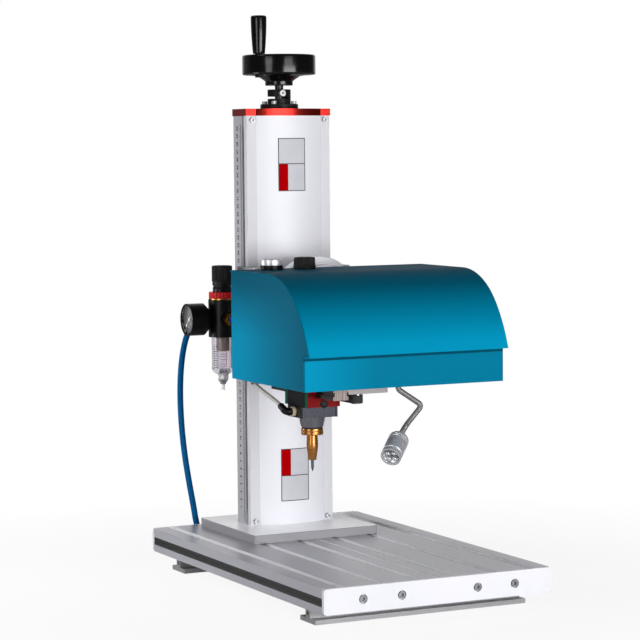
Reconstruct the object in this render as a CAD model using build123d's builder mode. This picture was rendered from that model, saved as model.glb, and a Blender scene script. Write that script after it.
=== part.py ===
from build123d import *
import os
from math import cos, hypot, pi, radians, sin, tan

# Pneumatic marking machine, in millimetres. X runs to the right, Y to the rear and Z up.
# The origin is on the floor, under the middle of the work table.

# Clearances shared by every sub-assembly
running_gap = 0.3
fit_gap = 0.05
overrun = 2.0
half_turn_angle = 180.0

# Work table and its two foot rails
table_width = 300.0
table_length = 496.0
table_thickness = 30.0
slot_pitch = 50.0
slots_per_profile = 3
first_slot_share = 0.5
slot_mouth = 10.0
slot_lip = 6.0
slot_inner_width = 20.0
slot_inner_height = 7.0
cell_width = 26.0
cell_height = 9.0
cell_floor = 3.5
seam_bevel = 1.5
side_slot_height = 10.0
side_slot_depth = 6.0
side_slot_drop = 11.0
foot_length = 280.0
foot_width = 40.0
foot_height = 19.0
foot_spacing = 381.0
foot_flange = 5.5
foot_top_flange = 2.5
foot_web = 12.0
foot_channel_bore = 5.0

# End plates of the table, each held by four M5 screws in counterbores
end_plate_thickness = 5.0
end_plate_corner = 4.0
counterbore_diameter = 11.0
counterbore_depth = 3.5
m5_diameter = 5.0
m5_head_diameter = 8.5
m5_head_height = 3.5
m5_length = 18.0
m5_socket = 4.0
socket_share = 0.6

# Column, its foot plate and its cap
foot_plate_width = 174.0
foot_plate_front_y = 68.0
foot_plate_back_y = 239.0
foot_plate_thickness = 11.0
foot_plate_corner = 3.0
column_width = 118.0
column_height = 527.0
column_back_y = 181.0
column_depth = 40.2
column_side_wall = 6.0
column_back_wall = 4.0
guide_slot = 6.0
cover_flange_depth = 8.0
cover_strip = 13.0
cover_bulge = 10.8
cover_wall = 2.5
end_block_height = 15.0
cap_thickness = 9.0
cap_overhang = 1.0
cover_screw_inset = 7.5
cover_screw_drop = 5.5

# M4 screws of the column
m4_diameter = 4.0
m4_head_diameter = 7.0
m4_head_height = 4.0
m4_length = 8.0
m4_socket = 3.0

# Lift drive: lead screw, guide shafts, bearing flange with a split collar
drive_y = 167.0
lead_screw_diameter = 12.0
lead_screw_journal = 8.0
lead_screw_neck = 11.0
guide_shaft_diameter = 12.0
guide_shaft_inset = 14.0
flange_diameter = 49.0
flange_thickness = 6.0
flange_screw_circle = 40.0
flange_screw_count = 4
collar_diameter = 30.0
collar_height = 19.0
collar_slit = 3.0
collar_slit_drop = 9.0
collar_tie = 6.0
clamp_screw_x = -4.0
clamp_screw_drop = 5.0
clamp_screw_diameter = 4.0
clamp_screw_head_diameter = 8.0
clamp_screw_head_height = 5.0
clamp_screw_reach = 7.0

# Handwheel and its turning handle
wheel_gap = 5.0
wheel_hub_diameter = 36.0
wheel_hub_height = 6.5
wheel_cone_diameter = 55.0
wheel_cone_height = 6.5
wheel_diameter = 95.0
wheel_rim_height = 25.0
wheel_rim_width = 7.0
wheel_web = 6.0
wheel_boss_diameter = 26.0
wheel_boss_height = 12.0
wheel_rim_round = 3.0
wheel_lift = 2.0
handle_circle_radius = 36.0
handle_angle = 200.0
handle_base_diameter = 15.4
handle_top_diameter = 19.7
handle_height = 50.0
handle_round = 4.0
spindle_diameter = 6.0
spindle_collar_diameter = 11.0
spindle_nut_width = 10.0
spindle_nut_height = 3.0
spindle_inset = 4.0

# Carriage that the screw lifts, and the arms that reach round the column
carriage_bottom_z = 304.6
carriage_height = 90.0
carriage_side_gap = 3.0
carriage_front_gap = 0.5
carriage_back_gap = 0.5
arm_wing_gap = 1.0
arm_plate_thickness = 12.0
arm_plate_front_y = 110.0
arm_wing_thickness = 8.0
arm_wing_front_y = 102.0
arm_wing_round = 3.0
tongue_thickness = 5.0
tongue_reach = 28.0

# Swivel joint between the carriage and the head
tilt_axis_z = 349.5
disc_diameter = 120.0
disc_thickness = 16.0
disc_front_y = 58.8
disc_neck_diameter = 84.0
disc_edge = 1.0
journal_diameter = 30.0
journal_length = 40.0
journal_end_gap = 5.0
hub_diameter = 100.0
hub_thickness = 10.0
hub_neck_diameter = 70.0

# Head cover, a bent sheet with two side panels
head_width = 266.4
head_back_y = 31.8
head_top_z = 397.0
head_bottom_z = 264.0
head_depth = 216.3
head_lip_z = 304.4
lip_setback = 12.7
brow_setback = 108.0
knee_setback = 186.6
knee_drop = 37.5
sheet = 2.0
sheet_proud = 1.2

# Fittings on top of the head
top_fitting_y = 8.8
socket_x = -87.7
socket_base_diameter = 27.5
socket_base_height = 5.8
socket_ring_height = 7.0
socket_bore = 19.0
socket_bore_depth = 5.0
socket_barrel_diameter = 16.0
socket_barrel_length = 12.0
air_knob_x = -42.9
air_knob_diameter = 28.0
air_knob_top_diameter = 26.0
air_knob_height = 14.3
air_knob_stem = 8.0
air_knob_stem_length = 10.0

# Frame inside the head
frame_side_gap = 0.3
frame_plate = 10.0
frame_side_plate = 5.0
frame_back_bottom_z = 267.0
frame_back_top_z = 392.0
frame_side_rise = 0.6
frame_front_y = -158.0
frame_bar_depth = 20.0
frame_bar_thickness = 12.5
frame_window_width = 70.0
frame_window_height = 22.0

# X guide, screw and motor
x_rail_length = 240.0
x_rail_width = 12.0
x_rail_height = 8.0
front_rail_y = -148.0
rear_rail_bottom_z = 285.0
x_screw_y = 0.4
x_screw_z = 345.0
x_screw_diameter = 8.0
x_bearing_x = -124.0
x_bearing_thickness = 6.0
x_bearing_height = 16.0
x_flange_x = 83.0
x_flange_thickness = 3.0
x_motor_size = 42.0
x_motor_length = 38.0
motor_boss_diameter = 22.0
motor_boss_height = 2.0
motor_corner = 4.0

# Beam that travels along X and carries the Y rail
beam_left_x = -98.0
beam_width = 44.0
beam_front_y = -157.0
beam_back_y = 16.0
beam_bottom_z = 267.5
beam_thickness = 12.0
front_runner_length = 18.0
front_runner_height = 12.0
rear_runner_front_y = 8.8
rear_runner_back_y = 20.8
rear_runner_top_z = 304.5
nut_tower_front_y = -2.0
nut_tower_inset = 5.0
nut_boss_diameter = 18.0
idler_plate_front_y = -153.2
idler_plate_back_y = -118.0
idler_plate_right_x = -14.0
idler_plate_bottom_z = 256.3
idler_step_x = -52.5
idler_step_depth = 9.7
motor_plate_thickness = 5.0
motor_plate_front_y = -47.0
motor_plate_back_y = -5.0
union_x = -114.0
union_y = 6.0
union_diameter = 10.0
union_length = 8.0
union_ear_depth = 12.0
rail_width = 20.0
rail_height = 17.5
rail_length = 170.0
rail_notch_depth = 2.0
rail_notch_height = 5.0
rail_notch_drop = 8.0
rail_left_x = -86.0

# Y motor, belt and pulleys
pulley_x = -44.2
front_pulley_y = -131.2
rear_pulley_y = -26.0
pulley_radius = 5.9
pulley_bore = 5.0
belt_width = 10.0
belt_thickness = 1.4
belt_bottom_z = 243.5
pulley_overlap = 0.8
y_motor_size = 42.0
y_motor_length = 38.0

# Guide block that travels along the Y rail
block_front_y = -108.2
block_length = 62.0
block_bottom_z = 237.5
block_top_z = 262.9
cap_green_thickness = 7.3
cap_red_thickness = 1.5
cap_inset = 0.6
grease_plug_diameter = 7.0
grease_plug_height = 1.5

# Stylus holder, nozzle and pin
stylus_y = -76.0
holder_left_x = -99.5
holder_width = 47.0
holder_front_y = -96.0
holder_depth = 40.0
holder_thickness = 13.0
holder_cone_top_diameter = 32.0
holder_cone_bottom_diameter = 27.0
holder_cone_height = 12.5
holder_corner = 2.0
clamp_tab_front_y = -97.0
clamp_tab_length = 10.0
clamp_lip = 1.5
seal_height = 2.0
nozzle_flange_diameter = 26.5
nozzle_flange_height = 7.7
nozzle_barrel_diameter = 14.0
nozzle_barrel_height = 15.0
nozzle_taper_height = 14.0
nozzle_tip_diameter = 9.0
stylus_diameter = 3.4
stylus_reach = 15.4
stylus_point_length = 6.0
stylus_point_diameter = 0.8
piston_diameter = 16.0
piston_height = 6.0
piston_room = 14.0

# Elbow fitting and air tube beside the holder
elbow_x = -110.6
elbow_z = 231.5
elbow_diameter = 9.0
elbow_ring_diameter = 12.0
elbow_ring_width = 4.0
elbow_collet_diameter = 8.0
elbow_collet_length = 16.0
elbow_rise = 22.0
air_tube_diameter = 5.0
air_tube_bend_share = 0.5

# Work lamp on its gooseneck
lamp_mount_x = -6.5
lamp_mount_y = -165.2
lamp_bracket_width = 20.0
lamp_bracket_thickness = 4.0
lamp_foot_thickness = 4.0
lamp_foot_top_z = 269.0
lamp_foot_front_y = -169.0
neck_diameter = 7.3
neck_drop = 4.0
neck_bend_x = 24.2
neck_bend_z = 240.5
neck_end_x = -1.9
neck_end_z = 208.4
neck_last_run = 12.0
neck_top_bend = 5.0
neck_elbow_bend = 6.0
neck_lower_bend = 10.0
lamp_face_x = -31.3
lamp_face_y = -191.7
lamp_face_z = 184.7
lamp_diameter = 24.5
lamp_length = 37.0
lamp_shoulder = 4.0
lamp_rear_diameter = 9.0
lamp_groove_depth = 1.0
lamp_groove_width = 2.0
lamp_groove_setback = 5.0
lamp_cup_diameter = 20.5
lamp_cup_depth = 6.0
lens_thickness = 1.5

# Filter regulator on the left side of the column
regulator_reach = 29.0
regulator_y = 157.8
regulator_body_diameter = 36.0
regulator_body_bottom_z = 305.0
regulator_body_top_z = 353.0
bracket_thickness = 1.6
bracket_ring_radius = 17.2
bracket_front_y = 157.4
bracket_back_y = 178.0
bracket_plate_drop = 38.0
ring_nut_diameter = 34.4
ring_nut_height = 8.1
regulator_neck_diameter = 24.0
regulator_collar_height = 3.7
knob_diameter = 26.4
knob_height = 29.6
knob_round = 3.0
knob_round_taper = 22.5
knob_flutes = 16
knob_flute_radius = 1.4
port_z = 328.5
port_boss_diameter = 20.0
port_boss_reach = 19.5
fitting_hex = 14.0
fitting_hex_length = 9.0
fitting_barrel_diameter = 13.0
fitting_barrel_length = 8.0
collet_diameter = 12.0
collet_length = 2.2
push_in_depth = 8.0
hose_diameter = 8.0
gauge_reach = 21.0
gauge_depth = 29.0
gauge_diameter = 41.0
gauge_wall = 2.0
gauge_dial_depth = 9.0
gauge_stem_diameter = 12.0
gauge_chamfer = 7.0
lens_setback = 1.5
needle_rest_angle = -45.0
needle_length = 14.0
needle_tail = 5.0
needle_width = 1.2
needle_thickness = 0.8
needle_hub_diameter = 4.0
needle_pin_diameter = 1.6
needle_pin_length = 4.0
bowl_diameter = 28.5
bowl_bottom_z = 257.0
bowl_round = 8.0
bowl_wall = 2.5
bowl_thread_height = 8.0
filter_diameter = 17.0
filter_height = 26.0
drain_nut_diameter = 13.6
drain_nut_bottom_z = 244.0
drain_bore = 4.4
drain_stem_diameter = 4.2
drain_stem_bottom_z = 236.5
drain_stem_length = 22.0
drain_head_diameter = 7.0
bracket_screw_inset = 12.0

# Route of the air hose, from the inlet fitting down to the floor behind the table. X counts
# from the axis of the regulator.
hose_route = [
    (0, 188.5, 328.5), (0, 232.0, 328.5), (0, 273.0, 304.0),
    (0.4, 293.5, 270.0), (1.2, 303.5, 229.0), (3.2, 306.3, 184.0),
    (5.3, 302.2, 142.0), (7.3, 292.3, 103.0), (8.5, 280.0, 70.0),
    (10.5, 273.5, 40.5), (23.0, 272.3, 17.5), (46.0, 272.0, 4.05),
    (72.5, 272.0, 4.05),
]
route_bend_share = 0.45
coil_radius = 62.0
coil_pitch = 8.6
coil_inner_half_turns = 7
coil_outer_half_turns = 3
coil_end_lift = 2.2
coil_tail = 9.0
coil_arc_samples = 24
coil_near_samples = 14
connector_diameter = 12.0
connector_length = 26.0

# Widths, heights and places that follow from the sizes above
column_inner_width = column_width - 2 * column_side_wall
carriage_width = column_inner_width - 2 * carriage_side_gap
guide_shaft_spacing = carriage_width - 2 * guide_shaft_inset
arm_plate_width = column_width + 2 * (arm_wing_gap + arm_wing_thickness)
regulator_x = -column_width / 2 - regulator_reach
gauge_back_x = regulator_x - gauge_reach
gauge_face_x = gauge_back_x - gauge_depth
frame_side_top_z = head_lip_z + frame_side_rise
hose_points = [(regulator_x + x, y, z) for x, y, z in hose_route]
table_bottom_z = foot_height
table_top_z = foot_height + table_thickness
table_middle_z = foot_height + table_thickness / 2
profile_width = table_width / 2
column_bottom_z = table_top_z + foot_plate_thickness
column_top_z = column_bottom_z + column_height
strip_y = column_back_y - column_depth
cover_back_y = strip_y + cover_flange_depth
body_front_y = cover_back_y + guide_slot
cap_top_z = column_top_z + cap_thickness
collar_bottom_z = cap_top_z + flange_thickness
collar_top_z = collar_bottom_z + collar_height
wheel_bottom_z = collar_top_z + wheel_gap
wheel_cone_z = wheel_bottom_z + wheel_hub_height + wheel_cone_height
rim_bottom_z = wheel_cone_z + wheel_lift
rim_top_z = rim_bottom_z + wheel_rim_height
handle_x = handle_circle_radius * cos(radians(handle_angle))
handle_y = drive_y + handle_circle_radius * sin(radians(handle_angle))
disc_back_y = disc_front_y + disc_thickness
journal_top_y = disc_front_y - running_gap
frame_plate_y = head_back_y - frame_plate
frame_side_x = head_width / 2 - sheet_proud - sheet - frame_side_gap
lip_y = head_back_y - head_depth
band_y = lip_y + lip_setback
frame_bar_bottom_z = frame_side_top_z - frame_bar_thickness
beam_top_z = beam_bottom_z + beam_thickness
beam_right_x = beam_left_x + beam_width
motor_plate_top_z = beam_top_z + motor_plate_thickness
rail_bottom_z = beam_bottom_z - rail_height
rail_x = rail_left_x + rail_width / 2
rail_front_y = idler_plate_front_y
belt_top_z = belt_bottom_z + belt_width
stylus_x = rail_x
block_back_y = block_front_y + block_length
holder_top_z = block_bottom_z
holder_bottom_z = holder_top_z - holder_thickness
cone_bottom_z = holder_bottom_z - holder_cone_height
nozzle_top_z = cone_bottom_z - seal_height
barrel_top_z = nozzle_top_z - nozzle_flange_height
barrel_bottom_z = barrel_top_z - nozzle_barrel_height
nozzle_bottom_z = barrel_bottom_z - nozzle_taper_height
stylus_tip_z = nozzle_bottom_z - stylus_reach
bracket_top_z = regulator_body_top_z + bracket_thickness
neck_top_z = bracket_top_z + ring_nut_height
collar_z = neck_top_z + regulator_collar_height


def facing_front(y):
    """Plane with its local axes on X and Z, which an extrusion leaves towards the front."""
    return Plane(origin=(0, y, 0), x_dir=(1, 0, 0), z_dir=(0, -1, 0))


def facing_right(x):
    """Plane with its local axes on Y and Z, which an extrusion leaves towards the right."""
    return Plane.YZ.offset(x)


def cap_screw(diameter, length, head_diameter, head_height, socket):
    """Socket head screw that points down, with the underside of its head at the origin."""
    with BuildPart() as screw:
        Cylinder(diameter / 2, length, align=(Align.CENTER, Align.CENTER, Align.MAX))
        Cylinder(head_diameter / 2, head_height, align=(Align.CENTER, Align.CENTER, Align.MIN))
        with BuildSketch(Plane.XY.offset(head_height)):
            RegularPolygon(socket / 2, 6, major_radius=False)
        extrude(amount=-head_height * socket_share, mode=Mode.SUBTRACT)
    return screw.part


def motor_body(size, length):
    """Square body of a stepper motor, along +Z from the origin."""
    with BuildPart() as motor:
        with BuildSketch():
            Rectangle(size, size)
            chamfer(vertices(), length=motor_corner)
        extrude(amount=length)
    return motor.part


def column_outline(margin):
    """Plan of the column with its bulging front, grown by a margin on every side."""
    side_x = column_width / 2 + margin
    bulge_x = column_width / 2 - cover_strip
    front_y = strip_y - margin
    back_y = column_back_y + margin
    with BuildSketch() as outline:
        with BuildLine():
            Polyline((-bulge_x, front_y), (-side_x, front_y), (-side_x, back_y),
                     (side_x, back_y), (side_x, front_y), (bulge_x, front_y))
            ThreePointArc((bulge_x, front_y), (0, front_y - cover_bulge), (-bulge_x, front_y))
        make_face()
    return outline.sketch


# Work table: two equal slotted profiles that meet at a bevelled seam
slot_places = [slot_pitch * (number + first_slot_share) for number in range(slots_per_profile)]
screw_places = [slot_pitch * (number + 1) for number in range(slots_per_profile - 1)]
slot_depth = slot_lip + slot_inner_height

with BuildPart() as base_table_right:
    with BuildSketch(Plane.XZ):
        with Locations((profile_width / 2, table_middle_z)):
            table_face = Rectangle(profile_width, table_thickness)
        chamfer(table_face.vertices().sort_by(Axis.Y)[-2:].sort_by(Axis.X)[:1], length=seam_bevel)
        with Locations(*[(x, table_top_z - slot_depth / 2) for x in slot_places]):
            Rectangle(slot_mouth, slot_depth, mode=Mode.SUBTRACT)
        with Locations(*[(x, table_top_z - slot_lip - slot_inner_height / 2) for x in slot_places]):
            Rectangle(slot_inner_width, slot_inner_height, mode=Mode.SUBTRACT)
        with Locations(*[(x, table_bottom_z + cell_floor + cell_height / 2) for x in slot_places]):
            Rectangle(cell_width, cell_height, mode=Mode.SUBTRACT)
        with Locations((profile_width - side_slot_depth / 2,
                        table_top_z - side_slot_drop - side_slot_height / 2)):
            Rectangle(side_slot_depth, side_slot_height, mode=Mode.SUBTRACT)
        with Locations(*[(x, table_middle_z) for x in screw_places]):
            Circle(m5_diameter / 2 + fit_gap, mode=Mode.SUBTRACT)
    extrude(amount=table_length / 2, both=True)
base_table_right.part.label = "base_table_right"

with BuildPart() as base_table_left:
    mirror(base_table_right.part, about=Plane.YZ)
base_table_left.part.label = "base_table_left"

# End plates with counterbored holes, and the screws in them
end_plate_screw_x = [side * x for x in screw_places for side in (-1, 1)]

with BuildPart() as end_plates:
    with BuildSketch(facing_front(-table_length / 2)):
        with Locations((0, table_middle_z)):
            RectangleRounded(table_width, table_thickness, end_plate_corner)
        with Locations(*[(x, table_middle_z) for x in end_plate_screw_x]):
            Circle(m5_diameter / 2 + fit_gap, mode=Mode.SUBTRACT)
    extrude(amount=end_plate_thickness)
    with BuildSketch(facing_front(-table_length / 2 - end_plate_thickness)):
        with Locations(*[(x, table_middle_z) for x in end_plate_screw_x]):
            Circle(counterbore_diameter / 2)
    extrude(amount=-counterbore_depth, mode=Mode.SUBTRACT)
    mirror(about=Plane.XZ)
end_plates.part.label = "end_plates"

m5_screw = cap_screw(m5_diameter, m5_length, m5_head_diameter, m5_head_height, m5_socket)
m5_seat_y = table_length / 2 + end_plate_thickness - counterbore_depth

with BuildPart() as end_plate_screws:
    with Locations(*[Location((x, -m5_seat_y, table_middle_z), (90, 0, 0))
                     for x in end_plate_screw_x]):
        add(m5_screw)
    mirror(about=Plane.XZ)
end_plate_screws.part.label = "end_plate_screws"

# Foot rails of I section, with a screw channel along the web
foot_web_height = foot_height - foot_flange - foot_top_flange

with BuildPart() as foot_rails:
    with BuildSketch(Plane.YZ):
        for side in (-1, 1):
            rail_y = side * foot_spacing / 2
            with Locations((rail_y, foot_flange / 2)):
                Rectangle(foot_width, foot_flange)
            with Locations((rail_y, foot_flange + foot_web_height / 2)):
                Rectangle(foot_web, foot_web_height)
            with Locations((rail_y, foot_height - foot_top_flange / 2)):
                Rectangle(foot_width, foot_top_flange)
            with Locations((rail_y, foot_flange + foot_web_height / 2)):
                Circle(foot_channel_bore / 2, mode=Mode.SUBTRACT)
    extrude(amount=foot_length / 2, both=True)
foot_rails.part.label = "foot_rails"

# Foot plate that carries the column
with BuildPart() as column_foot_plate:
    with BuildSketch(Plane.XY.offset(table_top_z)):
        with Locations((0, (foot_plate_front_y + foot_plate_back_y) / 2)):
            RectangleRounded(foot_plate_width, foot_plate_back_y - foot_plate_front_y,
                             foot_plate_corner)
    extrude(amount=foot_plate_thickness)
    chamfer(faces().sort_by(Axis.Z)[-1].edges(), length=cap_overhang)
column_foot_plate.part.label = "column_foot_plate"

# Column body, a U section that is open towards the front cover
column_inner_back_y = column_back_y - column_back_wall

with BuildPart() as column_body:
    with BuildSketch(Plane.XY.offset(column_bottom_z)):
        with Locations((0, (body_front_y + column_back_y) / 2)):
            Rectangle(column_width, column_back_y - body_front_y)
        with Locations((0, (body_front_y + column_inner_back_y) / 2)):
            Rectangle(column_inner_width, column_inner_back_y - body_front_y, mode=Mode.SUBTRACT)
    extrude(amount=column_height)
column_body.part.label = "column_body"

# Front cover with a bulging face and two side flanges
cover_inner_y = strip_y + cover_wall

with BuildPart() as front_cover:
    with BuildSketch(Plane.XY.offset(column_bottom_z)):
        add(column_outline(0))
        with Locations((0, cover_back_y + column_depth / 2)):
            Rectangle(column_width, column_depth, mode=Mode.SUBTRACT)
        with Locations((0, (cover_inner_y + cover_back_y) / 2)):
            Rectangle(column_width - 2 * cover_wall, cover_back_y - cover_inner_y,
                      mode=Mode.SUBTRACT)
        with BuildLine():
            bulge_x = column_width / 2 - cover_strip - cover_wall / 2
            Line((bulge_x, cover_inner_y), (-bulge_x, cover_inner_y))
            ThreePointArc((-bulge_x, cover_inner_y), (0, cover_inner_y - cover_bulge),
                          (bulge_x, cover_inner_y))
        make_face(mode=Mode.SUBTRACT)
    extrude(amount=column_height)
    cover_screw_x = column_width / 2 - cover_screw_inset
    cover_screw_z = [column_bottom_z + cover_screw_drop, column_top_z - cover_screw_drop]
    with BuildSketch(facing_front(strip_y)):
        with Locations(*[(side * cover_screw_x, z) for side in (-1, 1) for z in cover_screw_z]):
            Circle(m4_diameter / 2 + fit_gap)
    extrude(amount=-cover_wall, mode=Mode.SUBTRACT)
front_cover.part.label = "front_cover"

# End blocks that close the column, hold the shafts and take the cover's screws
shaft_x = guide_shaft_spacing / 2

with BuildPart() as column_end_blocks:
    for bottom in (column_bottom_z, column_top_z - end_block_height):
        with BuildSketch(Plane.XY.offset(bottom)):
            with Locations((0, (body_front_y + column_inner_back_y) / 2)):
                Rectangle(column_inner_width, column_inner_back_y - body_front_y)
            with Locations((0, (cover_inner_y + body_front_y) / 2)):
                Rectangle(column_width - 2 * cover_wall, body_front_y - cover_inner_y)
            with Locations((-shaft_x, drive_y), (shaft_x, drive_y)):
                Circle(guide_shaft_diameter / 2 + fit_gap, mode=Mode.SUBTRACT)
        extrude(amount=end_block_height)
    with BuildSketch(Plane.XY.offset(column_bottom_z)):
        with Locations((0, drive_y)):
            Circle(lead_screw_journal / 2 + fit_gap)
    extrude(amount=end_block_height, mode=Mode.SUBTRACT)
    with BuildSketch(Plane.XY.offset(column_top_z)):
        with Locations((0, drive_y)):
            Circle(lead_screw_neck / 2 + fit_gap)
    extrude(amount=-end_block_height, mode=Mode.SUBTRACT)
    with BuildSketch(facing_front(cover_inner_y)):
        with Locations(*[(side * cover_screw_x, z) for side in (-1, 1) for z in cover_screw_z]):
            Circle(m4_diameter / 2 + fit_gap)
    extrude(amount=-m4_length, mode=Mode.SUBTRACT)
column_end_blocks.part.label = "column_end_blocks"

# Cap plate with the holes of the flange screws
flange_screw_turn = half_turn_angle / flange_screw_count

with BuildPart() as column_cap_plate:
    with BuildSketch(Plane.XY.offset(column_top_z)):
        add(column_outline(cap_overhang))
        with Locations((0, drive_y)):
            Circle(lead_screw_neck / 2 + fit_gap, mode=Mode.SUBTRACT)
    extrude(amount=cap_thickness)
    with BuildSketch(Plane.XY.offset(cap_top_z)):
        with Locations((0, drive_y)):
            with PolarLocations(flange_screw_circle / 2, flange_screw_count, flange_screw_turn):
                Circle(m4_diameter / 2 + fit_gap)
    extrude(amount=-m4_length, mode=Mode.SUBTRACT)
column_cap_plate.part.label = "column_cap_plate"

# Bearing flange: its collar is slit across and down, so that a screw can clamp the shaft
slit_z = collar_top_z - collar_slit_drop - collar_slit / 2
collar_radius = collar_diameter / 2

with BuildPart() as bearing_flange:
    with BuildSketch(Plane.XY.offset(cap_top_z)):
        with Locations((0, drive_y)):
            Circle(flange_diameter / 2)
            with PolarLocations(flange_screw_circle / 2, flange_screw_count, flange_screw_turn):
                Circle(m4_diameter / 2 + fit_gap, mode=Mode.SUBTRACT)
    extrude(amount=flange_thickness)
    with BuildSketch(Plane.XY.offset(collar_bottom_z)):
        with Locations((0, drive_y)):
            Circle(collar_radius)
    extrude(amount=collar_height)
    with BuildSketch(Plane.XY.offset(cap_top_z)):
        with Locations((0, drive_y)):
            Circle(lead_screw_neck / 2 + fit_gap)
    extrude(amount=flange_thickness + collar_height, mode=Mode.SUBTRACT)
    with BuildSketch(Plane.XY.offset(slit_z - collar_slit / 2)):
        with Locations((collar_tie - collar_radius, drive_y)):
            Rectangle(collar_diameter, collar_diameter)
    extrude(amount=collar_slit, mode=Mode.SUBTRACT)
    with BuildSketch(Plane.XY.offset(slit_z)):
        with Locations((-collar_radius / 2, drive_y)):
            Rectangle(collar_radius, collar_slit)
    extrude(amount=collar_slit_drop + collar_slit, mode=Mode.SUBTRACT)
    with BuildSketch(facing_front(drive_y)):
        with Locations((clamp_screw_x, collar_top_z - clamp_screw_drop)):
            Circle(clamp_screw_diameter / 2 + fit_gap)
    extrude(amount=collar_diameter, mode=Mode.SUBTRACT)
bearing_flange.part.label = "bearing_flange"

# Clamp screw: it points at the shaft from the front of the collar
clamp_screw_solid = cap_screw(clamp_screw_diameter, clamp_screw_reach, clamp_screw_head_diameter,
                              clamp_screw_head_height, m4_socket)
collar_front_y = drive_y - collar_radius

with BuildPart() as clamp_screw:
    with Locations(Location((clamp_screw_x, collar_front_y, collar_top_z - clamp_screw_drop),
                            (90, 0, 0))):
        add(clamp_screw_solid)
clamp_screw.part.label = "clamp_screw"

# M4 screws of the cover, the flange and the regulator bracket
m4_screw = cap_screw(m4_diameter, m4_length, m4_head_diameter, m4_head_height, m4_socket)
bracket_plate_x = -column_width / 2 - bracket_thickness
bracket_plate_bottom_z = bracket_top_z - bracket_plate_drop
bracket_screw_y = (bracket_front_y + bracket_back_y) / 2
bracket_screw_z = [bracket_plate_bottom_z + bracket_screw_inset, bracket_top_z - bracket_screw_inset]

with BuildPart() as column_screws:
    with Locations(*[Location((side * cover_screw_x, strip_y, z), (90, 0, 0))
                     for side in (-1, 1) for z in cover_screw_z]):
        add(m4_screw)
    with Locations((0, drive_y, collar_bottom_z)):
        with PolarLocations(flange_screw_circle / 2, flange_screw_count, flange_screw_turn):
            add(m4_screw)
    with Locations(*[Location((bracket_plate_x, bracket_screw_y, z), (0, -90, 0))
                     for z in bracket_screw_z]):
        add(m4_screw)
column_screws.part.label = "column_screws"

# Guide shafts, from the lower end block to the cap
with BuildPart() as guide_shafts:
    with BuildSketch(Plane.XY.offset(column_bottom_z)):
        with Locations((-shaft_x, drive_y), (shaft_x, drive_y)):
            Circle(guide_shaft_diameter / 2)
    extrude(amount=column_height)
guide_shafts.part.label = "guide_shafts"

# Lead screw with a journal at each end
wheel_top_z = rim_bottom_z + wheel_web + wheel_boss_height

with BuildPart() as lead_screw:
    with BuildSketch(Plane.XZ):
        with BuildLine():
            Polyline(
                (0, column_bottom_z + running_gap),
                (lead_screw_journal / 2, column_bottom_z + running_gap),
                (lead_screw_journal / 2, column_bottom_z + end_block_height + running_gap),
                (lead_screw_diameter / 2, column_bottom_z + end_block_height + running_gap),
                (lead_screw_diameter / 2, column_top_z - end_block_height - running_gap),
                (lead_screw_neck / 2, column_top_z - end_block_height - running_gap),
                (lead_screw_neck / 2, wheel_top_z),
                (0, wheel_top_z),
                close=True)
        make_face()
    revolve(axis=Axis.Z)
lead_screw.part = lead_screw.part.moved(Location((0, drive_y, 0)))
lead_screw.part.label = "lead_screw"

# Handwheel: hub, cone, web and a deep rounded rim
rim_x = wheel_diameter / 2
rim_inner_x = rim_x - wheel_rim_width
web_top_z = rim_bottom_z + wheel_web
wheel_bore = lead_screw_neck / 2 + fit_gap

with BuildPart() as handwheel:
    with BuildSketch(Plane.XZ) as wheel_section:
        with BuildLine():
            Polyline(
                (wheel_bore, wheel_bottom_z),
                (wheel_hub_diameter / 2, wheel_bottom_z),
                (wheel_hub_diameter / 2, wheel_bottom_z + wheel_hub_height),
                (wheel_cone_diameter / 2, wheel_cone_z),
                (rim_x, rim_bottom_z),
                (rim_x, rim_top_z),
                (rim_inner_x, rim_top_z),
                (rim_inner_x, web_top_z),
                (wheel_boss_diameter / 2, web_top_z),
                (wheel_boss_diameter / 2, wheel_top_z),
                (wheel_bore, wheel_top_z),
                close=True)
        make_face()
        rim_corners = wheel_section.vertices().group_by(Axis.X)[-1]
        fillet(rim_corners, radius=wheel_rim_round)
    revolve(axis=Axis.Z)
handwheel.part = handwheel.part.moved(Location((0, drive_y, 0)))

with BuildPart() as drilled_wheel:
    add(handwheel.part)
    with BuildSketch(Plane.XY.offset(wheel_bottom_z)):
        with Locations((handle_x, handle_y)):
            Circle(spindle_diameter / 2 + fit_gap)
    extrude(amount=rim_top_z - wheel_bottom_z, mode=Mode.SUBTRACT)
    with BuildSketch(Plane.XY.offset(web_top_z)):
        with Locations((handle_x, handle_y)):
            Circle(spindle_collar_diameter / 2 + fit_gap)
    extrude(amount=rim_top_z - web_top_z, mode=Mode.SUBTRACT)
handwheel.part = drilled_wheel.part
handwheel.part.label = "handwheel"

# Spindle that the handle turns on, with its nut under the web
spindle_top_z = rim_top_z + handle_height - spindle_inset
spindle_bottom_z = wheel_cone_z - spindle_nut_height

with BuildPart() as handle_spindle:
    with BuildSketch(Plane.XY.offset(spindle_bottom_z)):
        with Locations((handle_x, handle_y)):
            Circle(spindle_diameter / 2)
    extrude(amount=spindle_top_z - spindle_bottom_z)
    with BuildSketch(Plane.XY.offset(web_top_z)):
        with Locations((handle_x, handle_y)):
            Circle(spindle_collar_diameter / 2)
    extrude(amount=rim_top_z - web_top_z)
    with BuildSketch(Plane.XY.offset(spindle_bottom_z)):
        with Locations((handle_x, handle_y)):
            RegularPolygon(spindle_nut_width / 2, 6, major_radius=False)
    extrude(amount=spindle_nut_height)
handle_spindle.part.label = "handle_spindle"

# Handle that turns freely on the spindle
handle_bottom_z = rim_top_z + running_gap
handle_bore = spindle_diameter / 2 + fit_gap

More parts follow.
